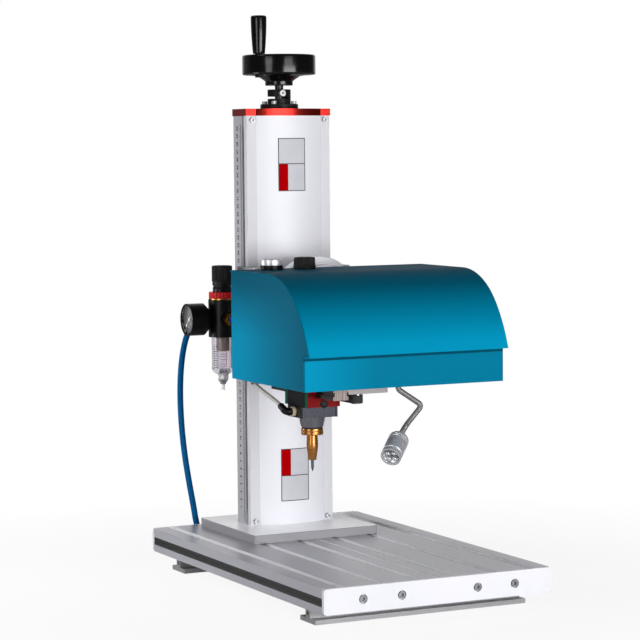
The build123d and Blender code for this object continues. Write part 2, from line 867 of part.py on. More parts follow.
with BuildPart() as handwheel_handle:
    with BuildSketch(Plane.XZ):
        with BuildLine():
            Polyline(
                (handle_bore, handle_bottom_z),
                (handle_base_diameter / 2, handle_bottom_z),
                (handle_top_diameter / 2, rim_top_z + handle_height - handle_round),
                (handle_top_diameter / 2 - handle_round, rim_top_z + handle_height),
                (0, rim_top_z + handle_height),
                (0, spindle_top_z + running_gap),
                (handle_bore, spindle_top_z + running_gap),
                close=True)
        make_face()
    revolve(axis=Axis.Z)
handwheel_handle.part = handwheel_handle.part.moved(Location((handle_x, handle_y, 0)))
handwheel_handle.part.label = "handwheel_handle"

# Carriage block that runs on the shafts and holds the nut
carriage_front_y = body_front_y - carriage_front_gap
carriage_back_y = column_inner_back_y - carriage_back_gap

with BuildPart() as carriage_block:
    with BuildSketch(Plane.XY.offset(carriage_bottom_z)):
        with Locations((0, (carriage_front_y + carriage_back_y) / 2)):
            Rectangle(carriage_width, carriage_back_y - carriage_front_y)
        with Locations((-shaft_x, drive_y), (shaft_x, drive_y)):
            Circle(guide_shaft_diameter / 2 + fit_gap, mode=Mode.SUBTRACT)
        with Locations((0, drive_y)):
            Circle(lead_screw_diameter / 2 + fit_gap, mode=Mode.SUBTRACT)
    extrude(amount=carriage_height)
carriage_block.part.label = "carriage_block"

# Arms: a plate across the front of the column, two wings and two tongues into its slots
wing_inner_x = arm_plate_width / 2 - arm_wing_thickness

with BuildPart() as carriage_arms:
    with BuildSketch(Plane.XY.offset(carriage_bottom_z)) as arms_section:
        with Locations((0, arm_plate_front_y + arm_plate_thickness / 2)):
            Rectangle(arm_plate_width, arm_plate_thickness)
        for side in (-1, 1):
            with Locations((side * (wing_inner_x + arm_wing_thickness / 2),
                            (arm_wing_front_y + carriage_front_y) / 2)):
                Rectangle(arm_wing_thickness, carriage_front_y - arm_wing_front_y)
            with Locations((side * (wing_inner_x - tongue_reach / 2),
                            carriage_front_y - tongue_thickness / 2)):
                Rectangle(tongue_reach, tongue_thickness)
        fillet(arms_section.vertices().group_by(Axis.Y)[0], radius=arm_wing_round)
    extrude(amount=carriage_height)
carriage_arms.part.label = "carriage_arms"

# Swivel disc with its neck and the bore of the journal
journal_bore_depth = journal_length + journal_end_gap

with BuildPart() as swivel_disc:
    with BuildSketch(facing_front(disc_back_y)):
        with Locations((0, tilt_axis_z)):
            Circle(disc_diameter / 2)
    extrude(amount=disc_thickness)
    chamfer(edges().filter_by(GeomType.CIRCLE), length=disc_edge)
    with BuildSketch(facing_front(arm_plate_front_y)):
        with Locations((0, tilt_axis_z)):
            Circle(disc_neck_diameter / 2)
    extrude(amount=arm_plate_front_y - disc_back_y)
    with BuildSketch(facing_front(disc_front_y)):
        with Locations((0, tilt_axis_z)):
            Circle(journal_diameter / 2 + fit_gap)
    extrude(amount=-journal_bore_depth, mode=Mode.SUBTRACT)
swivel_disc.part.label = "swivel_disc"

# Head hub: flange on the head, neck, and the journal in the disc
with BuildPart() as head_hub:
    with BuildSketch(facing_front(head_back_y + hub_thickness)):
        with Locations((0, tilt_axis_z)):
            Circle(hub_diameter / 2)
    extrude(amount=hub_thickness)
    with BuildSketch(facing_front(journal_top_y)):
        with Locations((0, tilt_axis_z)):
            Circle(hub_neck_diameter / 2)
    extrude(amount=journal_top_y - head_back_y)
    with BuildSketch(facing_front(journal_top_y + journal_length)):
        with Locations((0, tilt_axis_z)):
            Circle(journal_diameter / 2)
    extrude(amount=journal_length + hub_thickness)
head_hub.part.label = "head_hub"

# Head cover: the side view of the head, bent from one sheet, and a panel on each side
knee = (head_back_y - knee_setback, head_top_z - knee_drop)
side_panel_x = head_width / 2 - sheet_proud


def head_outline(inset):
    """Side view of the head: flat top, brow arc, flatter nose arc, lip and front band."""
    run = knee_setback - brow_setback
    brow_radius = hypot(run, knee_drop) ** 2 / (2 * knee_drop)
    knee_shift = Vector(run, brow_radius - knee_drop) * (inset / brow_radius)
    with BuildSketch() as outline:
        with BuildLine():
            top = Line((head_back_y, head_top_z - inset),
                       (head_back_y - brow_setback, head_top_z - inset))
            brow = TangentArc(top @ 1, (knee[0] + knee_shift.X, knee[1] - knee_shift.Y),
                              tangent=top % 1)
            nose = TangentArc(brow @ 1, (lip_y + inset, head_lip_z + inset), tangent=brow % 1)
            Polyline(nose @ 1, (band_y + inset, head_lip_z + inset),
                     (band_y + inset, head_bottom_z), (head_back_y, head_bottom_z), top @ 0)
        make_face()
    return outline.sketch


with BuildPart() as head_cover:
    with BuildSketch(Plane.YZ):
        add(head_outline(0))
        add(head_outline(sheet), mode=Mode.SUBTRACT)
    extrude(amount=head_width / 2, both=True)
    for plane_x in (-side_panel_x, side_panel_x - sheet):
        with BuildSketch(facing_right(plane_x)):
            add(head_outline(0))
        extrude(amount=sheet)
    with BuildSketch(Plane.XY.offset(head_top_z)):
        with Locations((socket_x, top_fitting_y)):
            Circle(socket_barrel_diameter / 2 + fit_gap)
        with Locations((air_knob_x, top_fitting_y)):
            Circle(air_knob_stem / 2 + fit_gap)
    extrude(amount=-sheet, mode=Mode.SUBTRACT)
head_cover.part.label = "head_cover"

# Signal socket: a base, a ring with the plug's bore, and the barrel through the sheet
with BuildPart() as signal_socket:
    with Locations((socket_x, top_fitting_y, head_top_z)):
        Cylinder(socket_base_diameter / 2, socket_base_height + socket_ring_height,
                 align=(Align.CENTER, Align.CENTER, Align.MIN))
        Cylinder(socket_barrel_diameter / 2, socket_barrel_length,
                 align=(Align.CENTER, Align.CENTER, Align.MAX))
    with BuildSketch(Plane.XY.offset(head_top_z + socket_base_height + socket_ring_height)):
        with Locations((socket_x, top_fitting_y)):
            Circle(socket_bore / 2)
    extrude(amount=-socket_bore_depth, mode=Mode.SUBTRACT)
signal_socket.part.label = "signal_socket"

# Air flow knob on its stem
with BuildPart() as air_flow_knob:
    with BuildSketch(Plane.XZ):
        with BuildLine():
            Polyline(
                (0, head_top_z - air_knob_stem_length),
                (air_knob_stem / 2, head_top_z - air_knob_stem_length),
                (air_knob_stem / 2, head_top_z + running_gap),
                (air_knob_diameter / 2, head_top_z + running_gap),
                (air_knob_top_diameter / 2, head_top_z + air_knob_height),
                (0, head_top_z + air_knob_height),
                close=True)
        make_face()
    revolve(axis=Axis.Z)
air_flow_knob.part = air_flow_knob.part.moved(Location((air_knob_x, top_fitting_y, 0)))
air_flow_knob.part.label = "air_flow_knob"

# Head frame: back plate, side plates, front bar, screw bearing, motor flange, lamp bracket
frame_side_inner_x = frame_side_x - frame_side_plate
lamp_foot_bottom_z = lamp_foot_top_z - lamp_foot_thickness
x_screw_axis = (x_screw_y, x_screw_z)

with BuildPart() as head_frame:
    with BuildSketch(facing_front(head_back_y)):
        with Locations((0, (frame_back_bottom_z + frame_back_top_z) / 2)):
            Rectangle(2 * frame_side_x, frame_back_top_z - frame_back_bottom_z)
        with Locations((0, frame_back_top_z - frame_window_height)):
            SlotOverall(frame_window_width, frame_window_height, mode=Mode.SUBTRACT)
    extrude(amount=frame_plate)
    for plane_x in (-frame_side_x, frame_side_inner_x):
        with BuildSketch(facing_right(plane_x)):
            with Locations(((frame_front_y + frame_plate_y) / 2,
                            (frame_back_bottom_z + frame_side_top_z) / 2)):
                Rectangle(frame_plate_y - frame_front_y, frame_side_top_z - frame_back_bottom_z)
        extrude(amount=frame_side_plate)
    with BuildSketch(facing_right(-frame_side_inner_x)):
        with Locations((frame_front_y + frame_bar_depth / 2,
                        frame_side_top_z - frame_bar_thickness / 2)):
            Rectangle(frame_bar_depth, frame_bar_thickness)
    extrude(amount=2 * frame_side_inner_x)
    with BuildSketch(facing_right(x_bearing_x)):
        with Locations(((x_screw_y - x_bearing_height / 2 + frame_plate_y) / 2, x_screw_z)):
            Rectangle(frame_plate_y - x_screw_y + x_bearing_height / 2, x_bearing_height)
        with Locations(x_screw_axis):
            Circle(x_screw_diameter / 2 + fit_gap, mode=Mode.SUBTRACT)
    extrude(amount=x_bearing_thickness)
    with BuildSketch(facing_right(x_flange_x)):
        with Locations(((x_screw_y - x_motor_size / 2 + frame_plate_y) / 2, x_screw_z)):
            Rectangle(frame_plate_y - x_screw_y + x_motor_size / 2, x_motor_size)
        with Locations(x_screw_axis):
            Circle(motor_boss_diameter / 2, mode=Mode.SUBTRACT)
    extrude(amount=x_flange_thickness)
    with BuildSketch(facing_right(lamp_mount_x - lamp_bracket_width / 2)):
        with Locations((frame_front_y - lamp_bracket_thickness / 2,
                        (frame_side_top_z + lamp_foot_bottom_z) / 2)):
            Rectangle(lamp_bracket_thickness, frame_side_top_z - lamp_foot_bottom_z)
        with Locations(((lamp_foot_front_y + frame_front_y) / 2,
                        (lamp_foot_top_z + lamp_foot_bottom_z) / 2)):
            Rectangle(frame_front_y - lamp_foot_front_y, lamp_foot_thickness)
    extrude(amount=lamp_bracket_width)
head_frame.part.label = "head_frame"

# X guide rails: one under the front bar, one on the back plate
rear_rail_z = rear_rail_bottom_z + x_rail_width / 2

with BuildPart() as x_rails:
    with BuildSketch(Plane.YZ):
        with Locations((front_rail_y, frame_bar_bottom_z - x_rail_height / 2)):
            Rectangle(x_rail_width, x_rail_height)
        with Locations((frame_plate_y - x_rail_height / 2, rear_rail_z)):
            Rectangle(x_rail_height, x_rail_width)
    extrude(amount=x_rail_length / 2, both=True)
x_rails.part.label = "x_rails"

# X lead screw, from its bearing to the motor's flange
with BuildPart() as x_screw:
    with BuildSketch(facing_right(x_bearing_x)):
        with Locations(x_screw_axis):
            Circle(x_screw_diameter / 2)
    extrude(amount=x_flange_x + x_flange_thickness - x_bearing_x - motor_boss_height - running_gap)
x_screw.part.label = "x_screw"

# X motor on the right-hand flange
x_motor_solid = motor_body(x_motor_size, x_motor_length)

with BuildPart() as x_motor:
    with Locations(Location((x_flange_x + x_flange_thickness, x_screw_y, x_screw_z), (0, 90, 0))):
        add(x_motor_solid)
    with BuildSketch(facing_right(x_flange_x + x_flange_thickness)):
        with Locations(x_screw_axis):
            Circle(motor_boss_diameter / 2 - fit_gap)
    extrude(amount=-motor_boss_height)
x_motor.part.label = "x_motor"

# Y beam: plate with runners on both X rails, the nut tower, idler plate and motor plate
tower_left_x = beam_left_x + nut_tower_inset
tower_width = beam_width - 2 * nut_tower_inset
runner_bore_width = x_rail_width + 2 * running_gap
rear_groove_y = frame_plate_y - x_rail_height - running_gap

with BuildPart() as y_beam:
    with BuildSketch(facing_right(beam_left_x)):
        with Locations(((beam_front_y + beam_back_y) / 2, beam_bottom_z + beam_thickness / 2)):
            Rectangle(beam_back_y - beam_front_y, beam_thickness)
        with Locations((front_rail_y, beam_top_z + front_runner_height / 2)):
            Rectangle(front_runner_length, front_runner_height)
        with Locations(((rear_runner_front_y + rear_runner_back_y) / 2,
                        (beam_bottom_z + rear_runner_top_z) / 2)):
            Rectangle(rear_runner_back_y - rear_runner_front_y, rear_runner_top_z - beam_bottom_z)
        with Locations((front_rail_y, frame_bar_bottom_z - x_rail_height / 2)):
            Rectangle(runner_bore_width, x_rail_height + 2 * running_gap, mode=Mode.SUBTRACT)
        with Locations(((rear_groove_y + rear_runner_back_y) / 2, rear_rail_z)):
            Rectangle(rear_runner_back_y - rear_groove_y, runner_bore_width, mode=Mode.SUBTRACT)
    extrude(amount=beam_width)
    with BuildSketch(facing_right(tower_left_x)):
        with Locations(((nut_tower_front_y + rear_runner_front_y) / 2,
                        (beam_top_z + x_screw_z) / 2)):
            Rectangle(rear_runner_front_y - nut_tower_front_y, x_screw_z - beam_top_z)
        with Locations(x_screw_axis):
            Circle(nut_boss_diameter / 2)
            Circle(x_screw_diameter / 2 + fit_gap, mode=Mode.SUBTRACT)
    extrude(amount=tower_width)
    with BuildSketch(Plane.XY.offset(beam_top_z)):
        with Locations(((beam_left_x + pulley_x + y_motor_size / 2) / 2,
                        (motor_plate_front_y + motor_plate_back_y) / 2)):
            Rectangle(pulley_x + y_motor_size / 2 - beam_left_x,
                      motor_plate_back_y - motor_plate_front_y)
        with Locations((pulley_x, rear_pulley_y)):
            Circle(motor_boss_diameter / 2, mode=Mode.SUBTRACT)
    extrude(amount=motor_plate_thickness)
    with BuildSketch(Plane.XY.offset(idler_plate_bottom_z)):
        with Locations(((idler_step_x + idler_plate_right_x) / 2,
                        (idler_plate_front_y + idler_plate_back_y) / 2)):
            Rectangle(idler_plate_right_x - idler_step_x, idler_plate_back_y - idler_plate_front_y)
        with Locations(((rail_left_x + rail_width + idler_step_x) / 2,
                        idler_plate_front_y + idler_step_depth / 2)):
            Rectangle(idler_step_x - rail_left_x - rail_width, idler_step_depth)
    extrude(amount=beam_bottom_z - idler_plate_bottom_z)
    with BuildSketch(Plane.XY.offset(beam_bottom_z)):
        with Locations(((beam_right_x + idler_plate_right_x) / 2 - nut_tower_inset / 2,
                        (idler_plate_front_y + idler_plate_back_y) / 2)):
            Rectangle(idler_plate_right_x - beam_right_x + nut_tower_inset,
                      idler_plate_back_y - idler_plate_front_y)
    extrude(amount=motor_plate_thickness)
    with BuildSketch(Plane.XY.offset(belt_bottom_z)):
        with Locations((pulley_x, front_pulley_y)):
            Circle(pulley_bore / 2)
    extrude(amount=idler_plate_bottom_z - belt_bottom_z)
    with BuildSketch(Plane.XY.offset(beam_bottom_z)):
        with Locations(((union_x - union_ear_depth / 2 + beam_left_x) / 2, union_y)):
            Rectangle(beam_left_x - union_x + union_ear_depth / 2, union_ear_depth)
    extrude(amount=beam_thickness)
    with BuildSketch(Plane.XY.offset(beam_bottom_z)):
        with Locations((union_x, union_y)):
            Circle(union_diameter / 2)
    extrude(amount=-union_length)
y_beam.part.label = "y_beam"

# Y rail with a notch down each side
notch_z = beam_bottom_z - rail_notch_drop - rail_notch_height / 2
rail_middle_z = beam_bottom_z - rail_height / 2

with BuildPart() as y_rail:
    with BuildSketch(facing_front(rail_front_y + rail_length)):
        with Locations((rail_x, rail_middle_z)):
            Rectangle(rail_width, rail_height)
        for side in (-1, 1):
            with Locations((rail_x + side * (rail_width - rail_notch_depth) / 2, notch_z)):
                Rectangle(rail_notch_depth, rail_notch_height, mode=Mode.SUBTRACT)
    extrude(amount=rail_length)
y_rail.part.label = "y_rail"

# Y motor on the beam's motor plate, with its round boss in the plate
y_motor_solid = motor_body(y_motor_size, y_motor_length)

with BuildPart() as y_motor:
    with Locations((pulley_x, rear_pulley_y, motor_plate_top_z)):
        add(y_motor_solid)
    with BuildSketch(Plane.XY.offset(motor_plate_top_z)):
        with Locations((pulley_x, rear_pulley_y)):
            Circle(motor_boss_diameter / 2 - fit_gap)
    extrude(amount=-motor_boss_height)
y_motor.part.label = "y_motor"

# Toothed belt round the two pulleys
pulley_span = rear_pulley_y - front_pulley_y
belt_inner = pulley_radius + running_gap
belt_outer = belt_inner + belt_thickness

with BuildPart() as y_belt:
    with BuildSketch(Plane.XY.offset(belt_bottom_z)):
        with Locations(Location((pulley_x, (front_pulley_y + rear_pulley_y) / 2, 0), (0, 0, 90))):
            SlotCenterToCenter(pulley_span, 2 * belt_outer)
            SlotCenterToCenter(pulley_span, 2 * belt_inner, mode=Mode.SUBTRACT)
    extrude(amount=belt_width)
y_belt.part.label = "y_belt"

# Pulleys: the front one runs on the idler axle, the rear one has the motor's shaft
with BuildPart() as y_pulley_front:
    with BuildSketch(Plane.XY.offset(belt_bottom_z - pulley_overlap)):
        with Locations((pulley_x, front_pulley_y)):
            Circle(pulley_radius)
            Circle(pulley_bore / 2 + fit_gap, mode=Mode.SUBTRACT)
    extrude(amount=belt_width + 2 * pulley_overlap)
y_pulley_front.part.label = "y_pulley_front"

with BuildPart() as y_pulley_rear:
    with BuildSketch(Plane.XY.offset(belt_bottom_z - pulley_overlap)):
        with Locations((pulley_x, rear_pulley_y)):
            Circle(pulley_radius)
    extrude(amount=belt_width + 2 * pulley_overlap)
    with BuildSketch(Plane.XY.offset(belt_top_z)):
        with Locations((pulley_x, rear_pulley_y)):
            Circle(pulley_bore / 2)
    extrude(amount=motor_plate_top_z - motor_boss_height - running_gap - belt_top_z)
y_pulley_rear.part.label = "y_pulley_rear"

# Guide block with a groove for the rail and a rib in each of the rail's notches
steel_front_y = block_front_y + cap_green_thickness + cap_red_thickness
steel_back_y = block_back_y - cap_green_thickness - cap_red_thickness
block_width = beam_width
groove_bottom_z = rail_bottom_z - running_gap
groove_width = rail_width + 2 * running_gap
rib_depth = rail_notch_depth - running_gap
rib_height = rail_notch_height - 2 * running_gap


def block_outline(margin):
    """End view of the guide block round the rail, drawn in by a margin on its outer sides."""
    with BuildSketch() as outline:
        with Locations((rail_x, (block_bottom_z + block_top_z) / 2)):
            Rectangle(block_width - 2 * margin, block_top_z - block_bottom_z - 2 * margin)
        with Locations((rail_x, (groove_bottom_z + block_top_z) / 2)):
            Rectangle(groove_width, block_top_z - groove_bottom_z, mode=Mode.SUBTRACT)
        for side in (-1, 1):
            with Locations((rail_x + side * (groove_width - rib_depth) / 2, notch_z)):
                Rectangle(rib_depth, rib_height)
    return outline.sketch


with BuildPart() as guide_block:
    with BuildSketch(facing_front(steel_back_y)):
        add(block_outline(0))
    extrude(amount=steel_back_y - steel_front_y)
guide_block.part.label = "guide_block"

# End caps of the block: a thick cap and a thin wiper plate at each end, and a grease plug
with BuildPart() as guide_end_caps:
    for plane_y, depth in ((steel_front_y, cap_green_thickness), (block_back_y, cap_red_thickness)):
        with BuildSketch(facing_front(plane_y)):
            add(block_outline(cap_inset))
        extrude(amount=depth)
    for plane_y, depth in ((block_back_y - cap_red_thickness, cap_green_thickness),
                           (block_front_y + cap_red_thickness, cap_red_thickness)):
        with BuildSketch(facing_front(plane_y)):
            add(block_outline(cap_inset))
        extrude(amount=depth)
    with BuildSketch(facing_front(block_front_y)):
        with Locations((rail_x, (block_bottom_z + groove_bottom_z) / 2)):
            Circle(grease_plug_diameter / 2)
    extrude(amount=grease_plug_height)
guide_end_caps.part.label = "guide_end_caps"

# Stylus holder: plate under the block, cone below it, and the tab that grips the belt
piston_bore = piston_diameter / 2 + fit_gap
piston_floor_z = cone_bottom_z + overrun
piston_ceiling_z = piston_floor_z + piston_room
tab_left_x = beam_right_x
belt_left_x = pulley_x - belt_outer
tab_right_x = belt_left_x - running_gap
tab_top_z = belt_top_z + running_gap + clamp_lip
lip_right_x = belt_left_x + belt_thickness

with BuildPart() as stylus_holder:
    with BuildSketch(Plane.XY.offset(holder_bottom_z)):
        with Locations((holder_left_x + holder_width / 2, holder_front_y + holder_depth / 2)):
            RectangleRounded(holder_width, holder_depth, holder_corner)
    extrude(amount=holder_thickness)
    with BuildSketch(Plane.XY.offset(cone_bottom_z)):
        with Locations((stylus_x, stylus_y)):
            Circle(holder_cone_bottom_diameter / 2)
    with BuildSketch(Plane.XY.offset(holder_bottom_z)):
        with Locations((stylus_x, stylus_y)):
            Circle(holder_cone_top_diameter / 2)
    loft()
    with BuildSketch(Plane.XY.offset(piston_floor_z)):
        with Locations((stylus_x, stylus_y)):
            Circle(piston_bore)
    extrude(amount=piston_room, mode=Mode.SUBTRACT)
    with BuildSketch(Plane.XY.offset(cone_bottom_z)):
        with Locations((stylus_x, stylus_y)):
            Circle(stylus_diameter / 2 + fit_gap)
    extrude(amount=piston_floor_z - cone_bottom_z, mode=Mode.SUBTRACT)
    with BuildSketch(facing_front(clamp_tab_front_y + clamp_tab_length)):
        with Locations(((tab_left_x + tab_right_x) / 2, (holder_bottom_z + tab_top_z) / 2)):
            Rectangle(tab_right_x - tab_left_x, tab_top_z - holder_bottom_z)
        with Locations(((tab_left_x + lip_right_x) / 2, tab_top_z - clamp_lip / 2)):
            Rectangle(lip_right_x - tab_left_x, clamp_lip)
        with Locations(((tab_left_x + lip_right_x) / 2,
                        belt_bottom_z - running_gap - clamp_lip / 2)):
            Rectangle(lip_right_x - tab_left_x, clamp_lip)
    extrude(amount=clamp_tab_length)
stylus_holder.part.label = "stylus_holder"

# Nozzle: seal land, flange, barrel and a short taper, bored for the pin
with BuildPart() as stylus_nozzle:
    with BuildSketch(Plane.XZ):
        with BuildLine():
            Polyline(
                (stylus_diameter / 2 + fit_gap, cone_bottom_z),
                (nozzle_flange_diameter / 2 - seal_height, cone_bottom_z),
                (nozzle_flange_diameter / 2 - seal_height, nozzle_top_z),
                (nozzle_flange_diameter / 2, nozzle_top_z),
                (nozzle_flange_diameter / 2, barrel_top_z),
                (nozzle_barrel_diameter / 2, barrel_top_z),
                (nozzle_barrel_diameter / 2, barrel_bottom_z),
                (nozzle_tip_diameter / 2, nozzle_bottom_z),
                (stylus_diameter / 2 + fit_gap, nozzle_bottom_z),
                close=True)
        make_face()
    revolve(axis=Axis.Z)
stylus_nozzle.part = stylus_nozzle.part.moved(Location((stylus_x, stylus_y, 0)))
stylus_nozzle.part.label = "stylus_nozzle"

# Stylus pin with its piston, drawn up at rest
piston_top_z = piston_ceiling_z - running_gap
piston_bottom_z = piston_top_z - piston_height

with BuildPart() as stylus_pin:
    with BuildSketch(Plane.XZ):
        with BuildLine():
            Polyline(
                (0, piston_top_z),
                (piston_diameter / 2, piston_top_z),
                (piston_diameter / 2, piston_bottom_z),
                (stylus_diameter / 2, piston_bottom_z),
                (stylus_diameter / 2, stylus_tip_z + stylus_point_length),
                (stylus_point_diameter / 2, stylus_tip_z),
                (0, stylus_tip_z),
                close=True)
        make_face()
    revolve(axis=Axis.Z)
stylus_pin.part = stylus_pin.part.moved(Location((stylus_x, stylus_y, 0)))
stylus_pin.part.label = "stylus_pin"

# Elbow fitting on the holder's left side
collet_y = stylus_y + elbow_collet_length * cos(radians(elbow_rise))
collet_z = elbow_z + elbow_collet_length * sin(radians(elbow_rise))

with BuildPart() as elbow_fitting:
    with BuildSketch(facing_right(holder_left_x)):
        with Locations((stylus_y, elbow_z)):
            Circle(elbow_ring_diameter / 2)
    extrude(amount=-elbow_ring_width)
    with BuildSketch(facing_right(holder_left_x)):
        with Locations((stylus_y, elbow_z)):
            Circle(elbow_diameter / 2)
    extrude(amount=elbow_x - holder_left_x)
    with Locations((elbow_x, stylus_y, elbow_z)):
        Sphere(elbow_diameter / 2)
    with BuildSketch(Plane(origin=(elbow_x, stylus_y, elbow_z), x_dir=(1, 0, 0),
                           z_dir=(0, cos(radians(elbow_rise)), sin(radians(elbow_rise))))):
        Circle(elbow_collet_diameter / 2)
    extrude(amount=elbow_collet_length)
elbow_fitting.part.label = "elbow_fitting"

# Thin air tube, from the elbow up to the union under the beam
tube_corner_y = collet_y + (union_y - collet_y) * air_tube_bend_share
tube_corner_z = collet_z + (tube_corner_y - collet_y) * tan(radians(elbow_rise))
union_bottom_z = beam_bottom_z - union_length

with BuildPart() as air_tube:
    with BuildLine() as tube_path:
        FilletPolyline((elbow_x, collet_y, collet_z),
                       (elbow_x, tube_corner_y, tube_corner_z),
                       (union_x, union_y, (tube_corner_z + union_bottom_z) / 2),
                       (union_x, union_y, union_bottom_z),
                       radius=air_tube_diameter / 2)
    with BuildSketch(Plane(origin=tube_path.line @ 0, z_dir=tube_path.line % 0)):
        Circle(air_tube_diameter / 2)
    sweep()
air_tube.part.label = "air_tube"

# Gooseneck of the lamp: out to the right, one elbow, and back to the lamp's own axis
lamp_face = Vector(lamp_face_x, lamp_face_y, lamp_face_z)
neck_end = Vector(neck_end_x, lamp_mount_y, neck_end_z)
lamp_back = neck_end - lamp_face
lamp_plane = Plane(origin=lamp_face, z_dir=lamp_back)
lamp_reach = lamp_back.length
lamp_neck_top_z = lamp_foot_bottom_z - running_gap

with BuildPart() as lamp_neck:
    with BuildLine() as neck_path:
        FilletPolyline((lamp_mount_x, lamp_mount_y, lamp_neck_top_z),
                       (lamp_mount_x, lamp_mount_y, lamp_neck_top_z - neck_drop),
                       (neck_bend_x, lamp_mount_y, neck_bend_z),
                       neck_end + lamp_back.normalized() * neck_last_run,
                       neck_end,
                       radius=[neck_top_bend, neck_elbow_bend, neck_lower_bend])
    with BuildSketch(Plane(origin=neck_path.line @ 0, z_dir=neck_path.line % 0)):
        Circle(neck_diameter / 2)
    sweep()
lamp_neck.part.label = "lamp_neck"

# Lamp body, turned, with a groove near its face and a cup for the lens
with BuildPart() as lamp_turned:
    with BuildSketch(Plane.XZ):
        with BuildLine():
            Polyline(
                (0, lamp_cup_depth),
                (lamp_cup_diameter / 2, lamp_cup_depth),
                (lamp_cup_diameter / 2, 0),
                (lamp_diameter / 2, 0),
                (lamp_diameter / 2, lamp_groove_setback),
                (lamp_diameter / 2 - lamp_groove_depth, lamp_groove_setback),
                (lamp_diameter / 2 - lamp_groove_depth, lamp_groove_setback + lamp_groove_width),
                (lamp_diameter / 2, lamp_groove_setback + lamp_groove_width),
                (lamp_diameter / 2, lamp_length - lamp_shoulder),
                (lamp_diameter / 2 - lamp_shoulder, lamp_length),
                (lamp_rear_diameter / 2, lamp_length),
                (lamp_rear_diameter / 2, lamp_reach),
                (0, lamp_reach),
                close=True)
        make_face()
    revolve(axis=Axis.Z)

with BuildPart() as lamp_body:
    add(lamp_turned.part.moved(lamp_plane.location))
lamp_body.part.label = "lamp_body"

with BuildPart() as lamp_lens:
    with BuildSketch(lamp_plane.offset(lamp_cup_depth - lens_thickness - running_gap)):
        Circle(lamp_cup_diameter / 2 - fit_gap)
    extrude(amount=lens_thickness)
lamp_lens.part.label = "lamp_lens"

# Bracket of the regulator: a ring under the red nut and a plate on the column's side
bracket_reach = -column_width / 2 - regulator_x

with BuildPart() as regulator_bracket:
    with BuildSketch(Plane.XY.offset(regulator_body_top_z)):
        with Locations((regulator_x, regulator_y)):
            Circle(bracket_ring_radius)
        with Locations((regulator_x + bracket_reach / 2, (bracket_front_y + bracket_back_y) / 2)):
            Rectangle(bracket_reach, bracket_back_y - bracket_front_y)
        with Locations((regulator_x, regulator_y)):
            Circle(regulator_neck_diameter / 2 + fit_gap, mode=Mode.SUBTRACT)
    extrude(amount=bracket_thickness)
    with BuildSketch(facing_right(bracket_plate_x)):
        with Locations((bracket_screw_y, (bracket_plate_bottom_z + bracket_top_z) / 2)):
            Rectangle(bracket_back_y - bracket_front_y, bracket_plate_drop)
        with Locations(*[(bracket_screw_y, z) for z in bracket_screw_z]):
            Circle(m4_diameter / 2 + fit_gap, mode=Mode.SUBTRACT)
    extrude(amount=bracket_thickness)
regulator_bracket.part.label = "regulator_bracket"

# The column's side wall takes the bracket's screws
with BuildPart() as drilled_column:
    add(column_body.part)
    with BuildSketch(facing_right(-column_width / 2)):
        with Locations(*[(bracket_screw_y, z) for z in bracket_screw_z]):
            Circle(m4_diameter / 2 + fit_gap)
    extrude(amount=column_side_wall, mode=Mode.SUBTRACT)
column_body.part = drilled_column.part
column_body.part.label = "column_body"

# Regulator body with its neck, two ports and the gauge port
bowl_seat_z = regulator_body_bottom_z + bowl_thread_height
bowl_bore = bowl_diameter / 2 + fit_gap

with BuildPart() as regulator_body:
    with BuildSketch(Plane.XZ):
        with BuildLine():
            Polyline(
                (0, bowl_seat_z),
                (bowl_bore, bowl_seat_z),
                (bowl_bore, regulator_body_bottom_z),
                (regulator_body_diameter / 2, regulator_body_bottom_z),
                (regulator_body_diameter / 2, regulator_body_top_z),
                (regulator_neck_diameter / 2, regulator_body_top_z),
                (regulator_neck_diameter / 2, collar_z),
                (0, collar_z),
                close=True)
        make_face()
    revolve(axis=Axis.Z)
    with BuildSketch(Plane.XZ):
        with Locations((0, port_z)):
            Circle(port_boss_diameter / 2)
    extrude(amount=port_boss_reach, both=True)
    with BuildSketch(Plane.YZ):
        with Locations((0, port_z)):
            Circle(gauge_stem_diameter / 2)
    extrude(amount=gauge_back_x - regulator_x)
regulator_body.part = regulator_body.part.moved(Location((regulator_x, regulator_y, 0)))
regulator_body.part.label = "regulator_body"

# Red ring nut on the neck
with BuildPart() as regulator_ring_nut:
    with BuildSketch(Plane.XY.offset(bracket_top_z)):
        with Locations((regulator_x, regulator_y)):
            Circle(ring_nut_diameter / 2)
            Circle(regulator_neck_diameter / 2 + fit_gap, mode=Mode.SUBTRACT)
    extrude(amount=ring_nut_height)
regulator_ring_nut.part.label = "regulator_ring_nut"

# Regulator knob with flutes
knob_bottom_z = collar_z + running_gap

with BuildPart() as regulator_knob:
    with BuildSketch(Plane.XY.offset(knob_bottom_z)):
        with Locations((regulator_x, regulator_y)):
            Circle(knob_diameter / 2)
            with PolarLocations(knob_diameter / 2, knob_flutes):
                Circle(knob_flute_radius, mode=Mode.SUBTRACT)
    extrude(amount=knob_height - knob_round)
    with BuildSketch(Plane.XY.offset(knob_bottom_z + knob_height - knob_round)):
        with Locations((regulator_x, regulator_y)):
            Circle(knob_diameter / 2 - knob_flute_radius)
    extrude(amount=knob_round, taper=knob_round_taper)
regulator_knob.part.label = "regulator_knob"

# Push-in fittings in the front and rear ports
fitting_y = port_boss_reach

